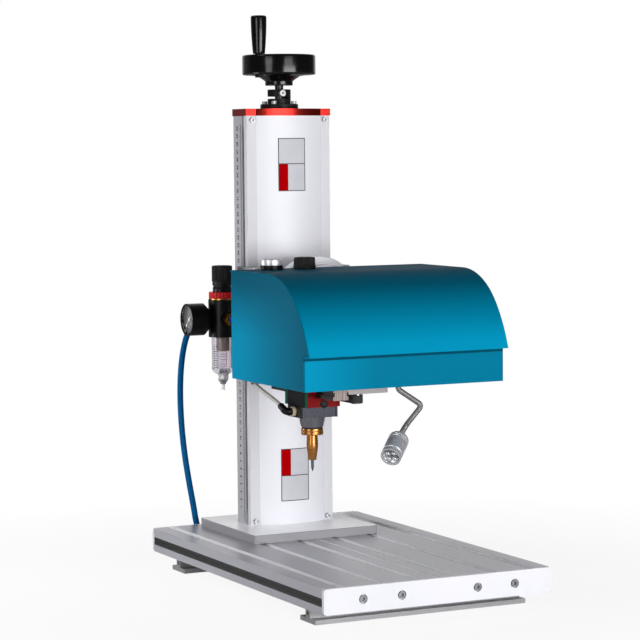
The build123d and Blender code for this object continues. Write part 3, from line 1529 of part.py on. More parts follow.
with BuildPart() as fitting_pair:
    with BuildSketch(facing_front(-fitting_y)):
        with Locations((0, port_z)):
            RegularPolygon(fitting_hex / 2, 6, major_radius=False)
    extrude(amount=fitting_hex_length)
    with BuildSketch(facing_front(-fitting_y - fitting_hex_length)):
        with Locations((0, port_z)):
            Circle(fitting_barrel_diameter / 2)
    extrude(amount=fitting_barrel_length)
    with BuildSketch(facing_front(-fitting_y - fitting_hex_length - fitting_barrel_length)):
        with Locations((0, port_z)):
            Circle(collet_diameter / 2)
    extrude(amount=collet_length)
    with BuildSketch(facing_front(-fitting_y - fitting_hex_length - fitting_barrel_length
                                  - collet_length)):
        with Locations((0, port_z)):
            Circle(hose_diameter / 2 + fit_gap)
    extrude(amount=-push_in_depth, mode=Mode.SUBTRACT)
    mirror(about=Plane.XZ)

with BuildPart() as port_fittings:
    add(fitting_pair.part.moved(Location((regulator_x, regulator_y, 0))))
port_fittings.part.label = "port_fittings"

# Pressure gauge: a cup with a chamfered back, its lens and its needle
gauge_rear_x = gauge_back_x - gauge_face_x
gauge_dial_x = gauge_face_x + gauge_dial_depth
gauge_centre = (regulator_y, port_z)

with BuildPart() as gauge_case:
    with BuildSketch(facing_right(gauge_face_x)):
        with Locations(gauge_centre):
            Circle(gauge_diameter / 2)
    extrude(amount=gauge_rear_x)
    chamfer(edges().filter_by(GeomType.CIRCLE).sort_by(Axis.X)[-1], length=gauge_chamfer)
    with BuildSketch(facing_right(gauge_face_x)):
        with Locations(gauge_centre):
            Circle(gauge_diameter / 2 - gauge_wall)
    extrude(amount=gauge_dial_depth, mode=Mode.SUBTRACT)
    with BuildSketch(facing_right(gauge_dial_x)):
        with Locations(gauge_centre):
            Circle(needle_pin_diameter / 2 + fit_gap)
    extrude(amount=needle_pin_length + running_gap, mode=Mode.SUBTRACT)
gauge_case.part.label = "gauge_case"

with BuildPart() as gauge_lens:
    with BuildSketch(facing_right(gauge_face_x + lens_setback)):
        with Locations(gauge_centre):
            Circle(gauge_diameter / 2 - gauge_wall - fit_gap)
    extrude(amount=lens_thickness)
gauge_lens.part.label = "gauge_lens"

# Needle, pointing down and to the rear at zero pressure
needle_x = gauge_face_x + lens_setback + lens_thickness + needle_thickness
needle_middle = (needle_length - needle_tail) / 2

with BuildPart() as gauge_needle:
    with BuildSketch(facing_right(needle_x)):
        with Locations(Location((regulator_y, port_z, 0), (0, 0, needle_rest_angle))):
            Circle(needle_hub_diameter / 2)
            with Locations((needle_middle, 0)):
                Rectangle(needle_length + needle_tail, needle_width)
    extrude(amount=needle_thickness)
    with BuildSketch(facing_right(needle_x)):
        with Locations(gauge_centre):
            Circle(needle_pin_diameter / 2)
    extrude(amount=gauge_dial_x + needle_pin_length - needle_x)
gauge_needle.part.label = "gauge_needle"

# Filter bowl, its element and the drain at its bottom
bowl_radius = bowl_diameter / 2
drain_nut_radius = drain_nut_diameter / 2

with BuildPart() as filter_bowl:
    with BuildSketch(Plane.XZ):
        with BuildLine():
            outer_wall = Line((bowl_radius, bowl_seat_z), (bowl_radius, bowl_bottom_z + bowl_round))
            outer_round = ThreePointArc(
                outer_wall @ 1,
                (bowl_radius - bowl_round * (1 - cos(pi / 4)),
                 bowl_bottom_z + bowl_round * (1 - sin(pi / 4))),
                (bowl_radius - bowl_round, bowl_bottom_z))
            Polyline(outer_round @ 1,
                     (drain_bore / 2 + overrun, bowl_bottom_z),
                     (drain_bore / 2 + overrun, bowl_bottom_z + bowl_wall),
                     (bowl_radius - bowl_round, bowl_bottom_z + bowl_wall),
                     (bowl_radius - bowl_wall, bowl_bottom_z + bowl_round),
                     (bowl_radius - bowl_wall, bowl_seat_z),
                     outer_wall @ 0)
        make_face()
    revolve(axis=Axis.Z)
filter_bowl.part = filter_bowl.part.moved(Location((regulator_x, regulator_y, 0)))
filter_bowl.part.label = "filter_bowl"

with BuildPart() as filter_element:
    with BuildSketch(Plane.XY.offset(bowl_seat_z - filter_height)):
        with Locations((regulator_x, regulator_y)):
            Circle(filter_diameter / 2)
    extrude(amount=filter_height)
filter_element.part.label = "filter_element"

with BuildPart() as drain_nut:
    with BuildSketch(Plane.XY.offset(drain_nut_bottom_z)):
        with Locations((regulator_x, regulator_y)):
            Circle(drain_nut_radius)
            Circle(drain_bore / 2, mode=Mode.SUBTRACT)
    extrude(amount=bowl_bottom_z - drain_nut_bottom_z)
drain_nut.part.label = "drain_nut"

# Drain stem that is pushed up to open the valve
drain_stem_top_z = drain_stem_bottom_z + drain_stem_length
drain_head_z = bowl_bottom_z + running_gap

with BuildPart() as drain_stem:
    with BuildSketch(Plane.XY.offset(drain_stem_bottom_z)):
        with Locations((regulator_x, regulator_y)):
            Circle(drain_stem_diameter / 2)
    extrude(amount=drain_stem_length)
    with BuildSketch(Plane.XY.offset(drain_head_z)):
        with Locations((regulator_x, regulator_y)):
            Circle(drain_head_diameter / 2)
    extrude(amount=drain_stem_top_z - drain_head_z)
drain_stem.part.label = "drain_stem"


def route_radii(points):
    """Bend radius at each corner: a share of the shorter run over the tangent of half the turn."""
    radii = []
    for before, corner, after in zip(points, points[1:], points[2:]):
        run_in = Vector(corner) - Vector(before)
        run_out = Vector(after) - Vector(corner)
        half_turn = radians(run_in.get_angle(run_out)) / 2
        radii.append(route_bend_share * min(run_in.length, run_out.length) / tan(half_turn))
    return radii


# Air hose, from the inlet fitting to the start of its coil
hose_radii = route_radii(hose_points)
print("hose radii", [round(radius, 1) for radius in hose_radii])

with BuildPart() as air_hose:
    with BuildLine() as hose_path:
        FilletPolyline(*hose_points, radius=hose_radii)
    with BuildSketch(Plane(origin=hose_path.line @ 0, z_dir=hose_path.line % 0)):
        Circle(hose_diameter / 2)
    sweep()
air_hose.part.label = "air_hose"

# Coil: half turns that shrink inwards on the floor, climb once, and grow outwards on top
half_step = coil_pitch / 2
coil_arcs = []
point = Vector(*hose_points[-1])
side = 1
radius = coil_radius
for half_turn in range(coil_inner_half_turns + 1 + coil_outer_half_turns):
    climb = 0
    if half_turn == coil_inner_half_turns:
        climb = coil_pitch
    if half_turn == coil_inner_half_turns + coil_outer_half_turns:
        climb = coil_end_lift
    end = Vector(point.X, point.Y + side * 2 * radius, point.Z + climb)
    middle = Vector(point.X + side * hypot(radius, climb / 2),
                    (point.Y + end.Y) / 2, (point.Z + end.Z) / 2)
    coil_arcs.append((point, middle, end))
    point = end
    side = -side
    if half_turn < coil_inner_half_turns:
        radius -= half_step
    else:
        radius += half_step

with BuildPart() as air_hose_coil:
    with BuildLine() as coil_path:
        for start, middle, end in coil_arcs:
            ThreePointArc(start, middle, end)
        tail = Line(point, (point.X + side * coil_tail, point.Y, point.Z))
    with BuildSketch(Plane(origin=coil_arcs[0][0], z_dir=(1, 0, 0))):
        Circle(hose_diameter / 2)
    sweep()
air_hose_coil.part.label = "air_hose_coil"

# Least gap of the coil to itself, measured on points along its path
hose_length = sum(edge.length for edge in hose_path.edges() + coil_path.edges())
samples = [ThreePointArc(start, middle, end) @ (step / coil_arc_samples)
           for start, middle, end in coil_arcs for step in range(coil_arc_samples)]
least_gap = min((samples[i] - samples[j]).length for i in range(len(samples))
                for j in range(i + coil_near_samples, len(samples))) - hose_diameter
print("hose length", round(hose_length), "least coil gap", round(least_gap, 2))

# Connector on the far end of the hose, lying on the coil
tail_end = tail @ 1

with BuildPart() as hose_connector:
    with BuildSketch(Plane(origin=tail_end, z_dir=(side, 0, 0))):
        Circle(connector_diameter / 2)
    extrude(amount=connector_length)
    chamfer(edges().filter_by(GeomType.CIRCLE), length=cap_overhang)
hose_connector.part.label = "hose_connector"

# Every piece goes into its own file
pieces = [
    base_table_left, base_table_right, end_plates, end_plate_screws, foot_rails,
    column_foot_plate, column_body, column_end_blocks, column_cap_plate, front_cover,
    column_screws, guide_shafts, bearing_flange, clamp_screw, regulator_bracket,
    regulator_body, regulator_ring_nut, port_fittings, gauge_case, gauge_lens,
    filter_element, filter_bowl, drain_nut, air_hose, air_hose_coil, hose_connector,
    gauge_needle, regulator_knob, drain_stem, handwheel, handle_spindle, lead_screw,
    handwheel_handle, carriage_block, carriage_arms, swivel_disc, head_hub, head_frame,
    head_cover, x_rails, x_motor, signal_socket, lamp_neck, lamp_body, lamp_lens,
    air_flow_knob, x_screw, y_beam, y_rail, y_motor, y_belt, y_pulley_front,
    y_pulley_rear, guide_block, guide_end_caps, stylus_holder, stylus_nozzle,
    elbow_fitting, air_tube, stylus_pin,
]
os.makedirs("parts", exist_ok=True)
for piece in pieces:
    export_step(piece.part, "parts/" + piece.part.label + ".step")
print(len(pieces), "pieces written")
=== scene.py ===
# %% [markdown]
# # A pneumatic marking machine
# A slotted table carries a column. A handwheel lifts the head along the column, and the
# head moves a pneumatic stylus in two directions over the work. The rigid pieces come
# from a CAD model, at their real size and place. This lesson gives them their finishes,
# and makes the pieces whose look needs finer surfaces: turned and knurled parts, the
# ruler, the dial, the lamp and the air hose.

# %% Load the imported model
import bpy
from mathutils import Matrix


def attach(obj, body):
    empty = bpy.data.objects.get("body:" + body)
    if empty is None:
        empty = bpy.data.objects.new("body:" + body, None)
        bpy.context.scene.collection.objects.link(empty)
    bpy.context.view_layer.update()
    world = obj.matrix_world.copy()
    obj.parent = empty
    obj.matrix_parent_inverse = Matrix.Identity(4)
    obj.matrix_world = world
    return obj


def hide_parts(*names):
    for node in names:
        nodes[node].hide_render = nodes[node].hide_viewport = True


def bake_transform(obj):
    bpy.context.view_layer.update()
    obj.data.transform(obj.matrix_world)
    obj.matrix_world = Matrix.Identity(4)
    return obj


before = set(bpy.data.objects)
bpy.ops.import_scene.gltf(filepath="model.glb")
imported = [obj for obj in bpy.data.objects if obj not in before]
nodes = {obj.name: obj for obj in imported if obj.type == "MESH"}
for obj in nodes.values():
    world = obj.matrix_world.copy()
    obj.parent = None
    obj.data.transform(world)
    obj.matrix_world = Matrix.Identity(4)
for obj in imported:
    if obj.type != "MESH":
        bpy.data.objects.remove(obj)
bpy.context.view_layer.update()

# %% Modules and the unit
from math import cos, pi, radians, sin, tau

import bmesh
import bpy
import numpy as np
from mathutils import Matrix, Vector

mm = 0.001
X_AXIS, Y_AXIS, Z_AXIS = Vector((1, 0, 0)), Vector((0, 1, 0)), Vector((0, 0, 1))

# %% [markdown]
# ## The camera
# The photograph was taken with a long lens, from the front left and a little above the
# table. Blender's Track To constraint could aim a camera at the head, but the camera also
# leans by half a degree, so its three axes are worked out from its angles instead.

# %% Camera
camera_place = Vector((-1.3345, -2.6452, 0.5465))
camera_turn, camera_dip, camera_roll = radians(26.31), radians(4.13), radians(0.53)
focal_length_in_pixels = 2396.4
picture_side_in_pixels = 640
sensor_width = 36.0

ahead = Vector((sin(camera_turn) * cos(camera_dip), cos(camera_turn) * cos(camera_dip),
                -sin(camera_dip)))
level_right = ahead.cross(Z_AXIS).normalized()
level_up = level_right.cross(ahead)
right = level_right * cos(camera_roll) - level_up * sin(camera_roll)
up = level_right * sin(camera_roll) + level_up * cos(camera_roll)

camera = bpy.data.objects.new("camera", bpy.data.cameras.new("camera"))
camera.matrix_world = Matrix.LocRotScale(
    camera_place, Matrix((right, up, -ahead)).transposed().to_quaternion(), None)
camera.data.sensor_width = sensor_width
camera.data.lens = focal_length_in_pixels * sensor_width / picture_side_in_pixels
bpy.context.scene.collection.objects.link(camera)
bpy.context.scene.camera = camera
print("lens", round(camera.data.lens, 1), "mm")

# %% [markdown]
# ## Shader sums as expressions
# A finish is a small sum: a noise times a strength, plus a plain value. Placing Math nodes
# by hand hides that sum, so a Wire wraps one output of a node, and adding or multiplying
# wires adds the nodes. Every other node comes from one method of the finish.


# %% Wires and finishes
class Wire:
    """One output of a node in a finish. Sums of wires and numbers become Math nodes."""

    def __init__(self, finish, socket):
        self.finish = finish
        self.socket = socket

    def math(self, operation, first, second):
        return self.finish.node("Math", {"operation": operation}, {0: first, 1: second})

    def __add__(self, other):
        return self.math("ADD", self, other)

    def __rsub__(self, other):
        return self.math("SUBTRACT", other, self)

    def __mul__(self, other):
        return self.math("MULTIPLY", self, other)

    def __gt__(self, other):
        return self.math("GREATER_THAN", self, other)

    def __lt__(self, other):
        return self.math("LESS_THAN", self, other)


class Nodes:
    """A node tree, whose nodes all come from one method."""

    def __init__(self, tree):
        self.tree = tree

    def node(self, kind, settings=None, inputs=None, output=0):
        """Adds a node: first its settings, then a value or a wire for each named input."""
        node = self.tree.nodes.new("ShaderNode" + kind)
        for setting, value in (settings or {}).items():
            setattr(node, setting, value)
        for socket, value in (inputs or {}).items():
            if isinstance(value, Wire):
                self.tree.links.new(value.socket, node.inputs[socket])
            else:
                node.inputs[socket].default_value = value
        return Wire(self, node.outputs[output])

    def ramp(self, value, low, high):
        """A wire that goes from 0 to 1 as the value goes from low to high."""
        return self.node("MapRange", {}, {"Value": value, "From Min": low, "From Max": high})


class Finish(Nodes):
    """A material with one Principled shader, whose patterns follow the piece's own coordinates."""

    def __init__(self, name, colour, roughness=0.5, metallic=0.0, **plain):
        self.material = bpy.data.materials.new(name)
        self.material.use_nodes = True
        super().__init__(self.material.node_tree)
        self.shader = self.tree.nodes["Principled BSDF"]
        self.material.diffuse_color = (*colour, 1.0)
        self.set("Base Color", (*colour, 1.0))
        self.set("Roughness", roughness)
        self.set("Metallic", metallic)
        for socket, value in plain.items():
            self.set(socket.replace("_", " ").title().replace("Ior", "IOR"), value)
        self.place = self.node("TexCoord", output="Object")

    def set(self, socket, value):
        """Gives a socket of the shader a plain value or a wire."""
        if isinstance(value, Wire):
            self.tree.links.new(value.socket, self.shader.inputs[socket])
        else:
            self.shader.inputs[socket].default_value = value

    def noise(self, scale, stretch=(1, 1, 1), detail=3.0):
        """Noise from 0 to 1, with so many grains a metre, finer along each stretched axis."""
        place = self.node("Mapping", {}, {"Vector": self.place, "Scale": stretch})
        return self.node("TexNoise", {}, {"Vector": place, "Scale": scale, "Detail": detail})

    def axis(self, name):
        """The piece's own X, Y or Z coordinate in metres."""
        return self.node("SeparateXYZ", {}, {"Vector": self.place}, name)

    def shade(self, mask, first, second):
        """A colour that goes from first to second as the mask goes from 0 to 1."""
        colours = [(*colour, 1.0) if isinstance(colour, tuple) else colour
                   for colour in (first, second)]
        return self.node("Mix", {"data_type": "RGBA"}, {0: mask, 6: colours[0], 7: colours[1]}, 2)

    def bump(self, height, strength, depth):
        """Dents the surface by the height's wire, at most depth metres deep."""
        normal = self.node("Bump", {}, {"Height": height, "Strength": strength,
                                        "Distance": depth})
        self.set("Normal", normal)


def scaled(colour, factor):
    """A darker or lighter version of a colour."""
    return tuple(min(channel * factor, 1.0) for channel in colour)


def within(place, low, high):
    """1 between two places in millimetres and 0 outside them, for a wire or an array."""
    return (place > low * mm) * (place < high * mm)


packed_materials = len(bpy.data.materials)
print("materials in the packed model", packed_materials)

# %% [markdown]
# ## Painted and powder-coated pieces
# Powder coat melts into a skin with a faint orange peel, about a millimetre across. A noise
# bump makes that peel, and a slow noise varies colour and gloss a little, because an
# evenly smooth surface looks like a screen and not like paint. In the photograph the head's
# blue is darker in four places: towards the top, along the low band to the right, on the
# left side to the front, and in the inner corner under the lip. Part of that is light, and
# one photograph doesn't tell how much. Here the paint makes most of it, so it stays when the
# head is lit in another way.


# %% Painted finishes
def powder_coat(name, colour, roughness, gloss=0.5, metallic=0.0, paint=None):
    """Painted sheet or plate: slow change of tone, orange peel in the bump. Paint is a
    function of the finish and its colour, for a piece whose colour changes with its place."""
    finish = Finish(name, colour, roughness, metallic, specular_ior_level=gloss)
    if paint is None:
        tone = finish.noise(9.0)
        finish.set("Base Color", finish.shade(tone, scaled(colour, 0.93), scaled(colour, 1.07)))
    else:
        finish.set("Base Color", paint(finish, colour))
    finish.set("Roughness", finish.noise(45.0) * 0.12 + (roughness - 0.06))
    finish.bump(finish.noise(900.0, detail=1.0), 0.12, 0.0002)
    return finish.material


def shaded_head(finish, blue):
    """The head's blue, with a share of it left in each dark place."""
    # Painted shade: the blue darkens towards the top, along the low band to the right and on the
    # left side to the front, and most in the inner corner under the lip, where the lip's shadow
    # falls.
    x, y, z = (finish.axis(name) for name in "XYZ")
    low_band = (z < 303 * mm) * (y < -171 * mm)
    left_side = x < -131.5 * mm
    to_top = finish.ramp(z, 318 * mm, 382 * mm)
    colour = finish.shade(to_top, blue, scaled(blue, 0.37))
    to_right = finish.ramp(x, -125 * mm, -40 * mm)
    colour = finish.shade(to_right * low_band, colour, scaled(blue, 0.64))
    to_front = finish.ramp(y, 0.0, -165 * mm)
    colour = finish.shade(to_front * left_side, colour, scaled(blue, 0.50))
    return finish.shade((z > 299.8 * mm) * low_band, colour, scaled(blue, 0.25))


head_paint = powder_coat("head_paint", (0.0, 0.265, 0.455), 0.55, gloss=0.02, paint=shaded_head)
plate_paint = powder_coat("plate_paint", (0.80, 0.80, 0.85), 0.24)
red_anodised = powder_coat("red_anodised", (0.36, 0.015, 0.011), 0.25, metallic=0.9)
print("painted finishes", [m.name for m in (head_paint, plate_paint, red_anodised)])

# %% [markdown]
# ## Metals
# An extrusion carries fine lines along the direction it was drawn in, and a turned piece
# carries rings round its axis. Both are noise that is stretched along one axis: fine across
# the lines and slow along them. The same noise moves the roughness, so that a highlight
# breaks up as it does on real metal.


# %% Metal finishes
def lined_metal(name, colour, fine, roughness=0.38, metallic=0.7, gloss=0.5):
    """Metal with lines: fine gives how much finer the noise is along X, Y and Z."""
    finish = Finish(name, colour, roughness, metallic, specular_ior_level=gloss)
    lines = finish.noise(10.0, fine, 4.0)
    finish.set("Base Color", finish.shade(lines, scaled(colour, 0.86), scaled(colour, 1.12)))
    finish.set("Roughness", lines * 0.22 + (roughness - 0.11))
    finish.bump(lines, 0.25, 0.00006)
    return finish.material


def plated_metal(name, colour, roughness):
    """Smooth plated or polished metal, a little uneven in its gloss."""
    finish = Finish(name, colour, roughness, 1.0)
    finish.set("Roughness", finish.noise(120.0) * 0.12 + (roughness - 0.04))
    return finish.material


column_metal = lined_metal("column_metal", (0.53, 0.53, 0.56), (90, 90, 1), 0.38, 0.25)
rail_metal = lined_metal("rail_metal", (0.33, 0.33, 0.34), (1, 90, 90), 0.40, 0.5)
milled_metal = lined_metal("milled_metal", (0.21, 0.195, 0.195), (25, 60, 25), 0.42, 0.35)
cast_metal = lined_metal("cast_metal", (0.45, 0.45, 0.47), (40, 40, 40), 0.45, 0.8)
turned_steel = lined_metal("turned_steel", (0.48, 0.48, 0.49), (2, 2, 160), 0.26, 1.0)
bright_steel = plated_metal("bright_steel", (0.62, 0.62, 0.63), 0.18)
dull_plate = plated_metal("dull_plate", (0.36, 0.36, 0.37), 0.26)
screw_steel = plated_metal("screw_steel", (0.24, 0.24, 0.25), 0.34)
satin_chrome = lined_metal("satin_chrome", (0.74, 0.74, 0.76), (4, 4, 60), 0.36, 0.6)
cap_screw_steel = lined_metal("cap_screw_steel", (0.46, 0.46, 0.48), (60, 60, 60), 0.40, 0.5)
brass = lined_metal("brass", (0.43, 0.185, 0.055), (3, 3, 140), 0.28, 1.0)
carbide = plated_metal("carbide", (0.10, 0.10, 0.12), 0.30)
black_oxide = lined_metal("black_oxide", (0.012, 0.012, 0.013), (30, 30, 60), 0.42, 0.0, gloss=0.12)
black_anodised = lined_metal("black_anodised", (0.006, 0.0065, 0.009), (30, 30, 60), 0.42, 0.0,
                             gloss=0.05)
lamp_metal = lined_metal("lamp_metal", (0.66, 0.66, 0.69), (40, 40, 40), 0.34, 0.6)
neck_metal = lined_metal("neck_metal", (0.25, 0.235, 0.24), (40, 40, 40), 0.34, 0.6)
mirror_dish = plated_metal("mirror_dish", (0.50, 0.50, 0.51), 0.10)
led_pale = plated_metal("led_pale", (0.42, 0.40, 0.34), 0.4)
print("finishes so far", len(bpy.data.materials) - packed_materials)

# %% [markdown]
# ## Plastics, rubber and glass
# Moulded black plastic is never one flat black: its gloss changes from place to place and it
# has a fine grain. The clear bowl and lenses are real transmission with a low roughness, so
# that what lies behind them shows.


# %% Plastic finishes
def moulded(name, colour, roughness, grain=0.10, gloss=0.5):
    """Moulded plastic with a fine grain and an uneven gloss."""
    finish = Finish(name, colour, roughness, specular_ior_level=gloss)
    finish.set("Base Color", finish.shade(finish.noise(30.0), scaled(colour, 0.88),
                                          scaled(colour, 1.14)))
    finish.set("Roughness", finish.noise(60.0) * 0.08 + (roughness - 0.04))
    finish.bump(finish.noise(1400.0, detail=1.0), grain, 0.0002)
    return finish.material


def clear_moulded(name, colour, roughness):
    """Clear plastic: it transmits, and its surface has faint flow marks."""
    finish = Finish(name, colour, roughness, transmission_weight=1.0, ior=1.32)
    finish.bump(finish.noise(40.0), 0.06, 0.0004)
    return finish.material


black_gloss = moulded("black_gloss", (0.003, 0.003, 0.0035), 0.16, 0.0, gloss=0.28)
black_satin = moulded("black_satin", (0.003, 0.003, 0.0035), 0.34, gloss=0.16)
black_matt = moulded("black_matt", (0.005, 0.005, 0.0055), 0.50, gloss=0.2)
red_plastic = moulded("red_plastic", (0.52, 0.006, 0.012), 0.40, gloss=0.15)
filter_white = moulded("filter_white", (0.46, 0.38, 0.31), 0.8, 0.6)
tube_clear = moulded("tube_clear", (0.52, 0.50, 0.46), 0.28)
hose_blue = moulded("hose_blue", (0.001, 0.092, 0.262), 0.36, 0.04, gloss=0.04)
collet_blue = moulded("collet_blue", (0.02, 0.05, 0.42), 0.34)
belt_rubber = moulded("belt_rubber", (0.02, 0.02, 0.02), 0.7, 0.5)
strip_black = moulded("strip_black", (0.017, 0.018, 0.018), 0.55)
clear_bowl = clear_moulded("clear_bowl", (0.66, 0.64, 0.69), 0.16)
clear_lens = clear_moulded("clear_lens", (0.98, 0.99, 1.0), 0.02)
mark_black = moulded("mark_black", (0.015, 0.015, 0.018), 0.5, gloss=0.05)
mark_grey = moulded("mark_grey", (0.05, 0.05, 0.055), 0.5, gloss=0.1)
mark_white = moulded("mark_white", (0.75, 0.75, 0.76), 0.5)
dial_print = moulded("dial_print", (0.36, 0.36, 0.37), 0.5)
label_pale = moulded("label_pale", (0.60, 0.60, 0.645), 0.45, 0.02, gloss=0.2)
label_red = moulded("label_red", (0.42, 0.0, 0.002), 0.55, 0.02, gloss=0.0)
scale_red = moulded("scale_red", (0.50, 0.05, 0.08), 0.5)
dial_grey = moulded("dial_grey", (0.14, 0.14, 0.145), 0.5, 0.02, gloss=0.2)
seal_cream = moulded("seal_cream", (0.62, 0.50, 0.36), 0.5)
print("finishes so far", len(bpy.data.materials) - packed_materials)

# %% [markdown]
# ## Finishes that change along a piece
# Some CAD pieces are one solid with two finishes: a motor is a black stack of sheets between
# two metal ends, the guide block's caps are green with thin red plates outside them, and the
# rail is black but for its pale end. Two comparisons of the piece's own coordinate with a low
# and a high level give a mask that is 1 between them, and the mask picks the colour. The
# table has three finishes: its top, its slots and its sides. The slots' near white is
# painted light, where their aluminium lies in shade.


# %% Banded finishes
def banded(name, axis, low, high, inside, outside, roughness=0.36, metallic=(0.0, 0.0),
           fine=(60, 60, 60), contrast=0.05, gloss=0.5):
    """One finish between two levels of a coordinate in millimetres, another outside them."""
    finish = Finish(name, inside, roughness, specular_ior_level=gloss)
    middle = within(finish.axis(axis), low, high)
    lines = finish.noise(10.0, fine, 4.0)
    lined = finish.shade(lines, scaled(outside, 1 - contrast), scaled(outside, 1 + contrast))
    finish.set("Base Color", finish.shade(middle, lined, inside))
    finish.set("Metallic", middle * (metallic[0] - metallic[1]) + metallic[1])
    finish.set("Roughness", lines * 0.2 + (roughness - 0.1))
    finish.bump(lines, 0.2, 0.00006)
    return finish.material


black_steel, motor_end = (0.012, 0.012, 0.013), (0.34, 0.34, 0.35)
lift_screw_metal = banded("lift_screw_metal", "Z", 0, 587, (0.48, 0.48, 0.49), black_steel,
                          0.3, (1.0, 0.3))
rail_black = banded("rail_black", "Y", -153.1, 100, black_steel, (0.26, 0.215, 0.20), 0.42,
                    (0.0, 0.1), (70, 70, 3), 0.9, gloss=0.15)
holder_metal = banded("holder_metal", "Z", 224.5, 260, (0.018, 0.019, 0.025),
                      (0.20, 0.20, 0.23), 0.26, (0.8, 0.95), (60, 60, 6), 0.12)
guide_caps = banded("guide_caps", "Y", -106.7, -47.7, (0.0, 0.085, 0.045),
                    (0.19, 0.0, 0.001), gloss=0.05)
x_motor_metal = banded("x_motor_metal", "X", 94, 116, black_steel, motor_end, 0.42, (0.0, 0.8),
                       (200, 2, 2))
y_motor_metal = banded("y_motor_metal", "Z", 292.5, 314.5, black_steel, motor_end, 0.42,
                       (0.0, 0.8), (2, 2, 200))
# The foot plate is one white plate: its top is painted brighter, painted light, and its front and
# sides dark grey, painted shade.
foot_painted_light_and_shade = banded("foot_painted_light_and_shade", "Z", 59.7, 61, (0.95, 0.95, 0.99), (0.33, 0.33, 0.355), 0.18,
                    (0.0, 0.0), (1, 1, 1))
white_paint = banded("white_paint", "X", -45.6, 45.6, (0.84, 0.84, 0.89), (0.66, 0.66, 0.70),
                     0.42, (0.0, 0.0), (1, 1, 1))
fitting_brass = banded("fitting_brass", "Y", 121.3, 194.3, (0.55, 0.30, 0.085),
                       (0.02, 0.05, 0.42), 0.28, (1.0, 0.0))
print("finishes so far", len(bpy.data.materials) - packed_materials)


# %% Finish of the slotted table
def slotted_metal(name, height, side, top, slots, sides):
    """An extrusion whose top, slots and sides differ: the top lies above a height, and the
    slots lie below it and nearer to the middle than the sides."""
    finish = Finish(name, top, 0.33)
    x, z = finish.axis("X"), finish.axis("Z")
    on_top, near = z > height * mm, x * x < (side * mm) ** 2
    lines = finish.noise(10.0, (90, 1, 90), 4.0)
    lined = finish.shade(lines, scaled(top, 0.95), scaled(top, 1.05))
    finish.set("Base Color", finish.shade(on_top, finish.shade(near, sides, slots), lined))
    finish.set("Metallic", on_top * 0.35 + (1 - near) * 0.2)
    finish.set("Roughness", lines * 0.2 + 0.23)
    finish.bump(lines, 0.2, 0.00006)
    return finish.material


# The slots are painted near white: painted light in place of the shade inside them.
table_metal = slotted_metal("table_metal", 48.72, 141, (0.375, 0.375, 0.41), (0.95, 0.95, 0.98),
                            (0.46, 0.46, 0.50))
print("table finish", table_metal.name)

# %% [markdown]
# ## Finishes for the CAD pieces
# The CAD pieces keep their shapes. Each gets one finish by name, in its material slot.

# %% Assign the finishes
cad_finishes = {
    table_metal: ["base_table_left", "base_table_right"],
    plate_paint: ["end_plates", "swivel_disc"],
    foot_painted_light_and_shade: ["column_foot_plate"],
    screw_steel: ["end_plate_screws"],
    rail_metal: ["foot_rails", "head_frame"],
    column_metal: ["column_body", "column_end_blocks"],
    red_anodised: ["column_cap_plate"],
    white_paint: ["front_cover"],
    bright_steel: ["guide_shafts", "x_rails", "drain_nut"],
    mark_white: ["gauge_needle"],
    cap_screw_steel: ["column_screws", "clamp_screw"],
    black_oxide: ["bearing_flange", "handle_spindle"],
    black_anodised: ["guide_block"],
    rail_black: ["y_rail"],
    brass: ["regulator_bracket", "stylus_nozzle", "hose_connector"],
    fitting_brass: ["port_fittings"],
    black_satin: ["regulator_body", "gauge_case", "elbow_fitting"],
    red_plastic: ["regulator_ring_nut"],
    clear_lens: ["gauge_lens", "lamp_lens"],
    filter_white: ["filter_element"],
    clear_bowl: ["filter_bowl"],
    hose_blue: ["air_hose", "air_hose_coil"],
    black_matt: ["regulator_knob", "air_flow_knob"],
    lift_screw_metal: ["lead_screw"],
    turned_steel: ["x_screw", "y_pulley_front", "y_pulley_rear", "drain_stem"],
    black_gloss: ["handwheel", "handwheel_handle"],
    cast_metal: ["carriage_block", "carriage_arms", "head_hub"],
    head_paint: ["head_cover"],
    x_motor_metal: ["x_motor"],
    y_motor_metal: ["y_motor"],
    dull_plate: ["signal_socket", "lamp_neck", "lamp_body"],
    milled_metal: ["y_beam"],
    holder_metal: ["stylus_holder"],
    belt_rubber: ["y_belt"],
    guide_caps: ["guide_end_caps"],
    tube_clear: ["air_tube"],
    carbide: ["stylus_pin"],
}
for material, names in cad_finishes.items():
    for name in names:
        nodes[name].data.materials.clear()
        nodes[name].data.materials.append(material)
unfinished = set(nodes) - {name for names in cad_finishes.values() for name in names}
print("CAD pieces without a finish:", sorted(unfinished))

# %% [markdown]
# ## Surfaces from arrays
# Most new pieces are turned, or follow a path. Both are a grid of points: one direction
# follows the profile or the path, the other goes round. Numpy works out all points of such
# a grid at once, and the faces join each point to its neighbours. Corners are written in
# millimetres, as a drawing would give them, and the arrays are in metres.


# %% Grids and pieces
def grid_faces(rows, columns, closed):
    """Quads of a grid, each from a point, the next one round, and the same two a row on."""
    spans = columns if closed else columns - 1
    row, column = np.meshgrid(np.arange(rows - 1), np.arange(spans), indexing="ij")
    after = (column + 1) % columns
    corners = [row * columns + column, row * columns + after,
               (row + 1) * columns + after, (row + 1) * columns + column]
    return np.stack(corners, axis=-1).reshape(-1, 4)


def joined(parts):
    """One mesh from many: each part's faces count on from the points of the parts before."""
    start, points, faces = 0, [], []
    for part_points, part_faces in parts:
        part_points = np.asarray(part_points).reshape(-1, 3)
        points.append(part_points)
        faces += [[corner + start for corner in face] for face in part_faces]
        start += len(part_points)
    return np.concatenate(points), faces


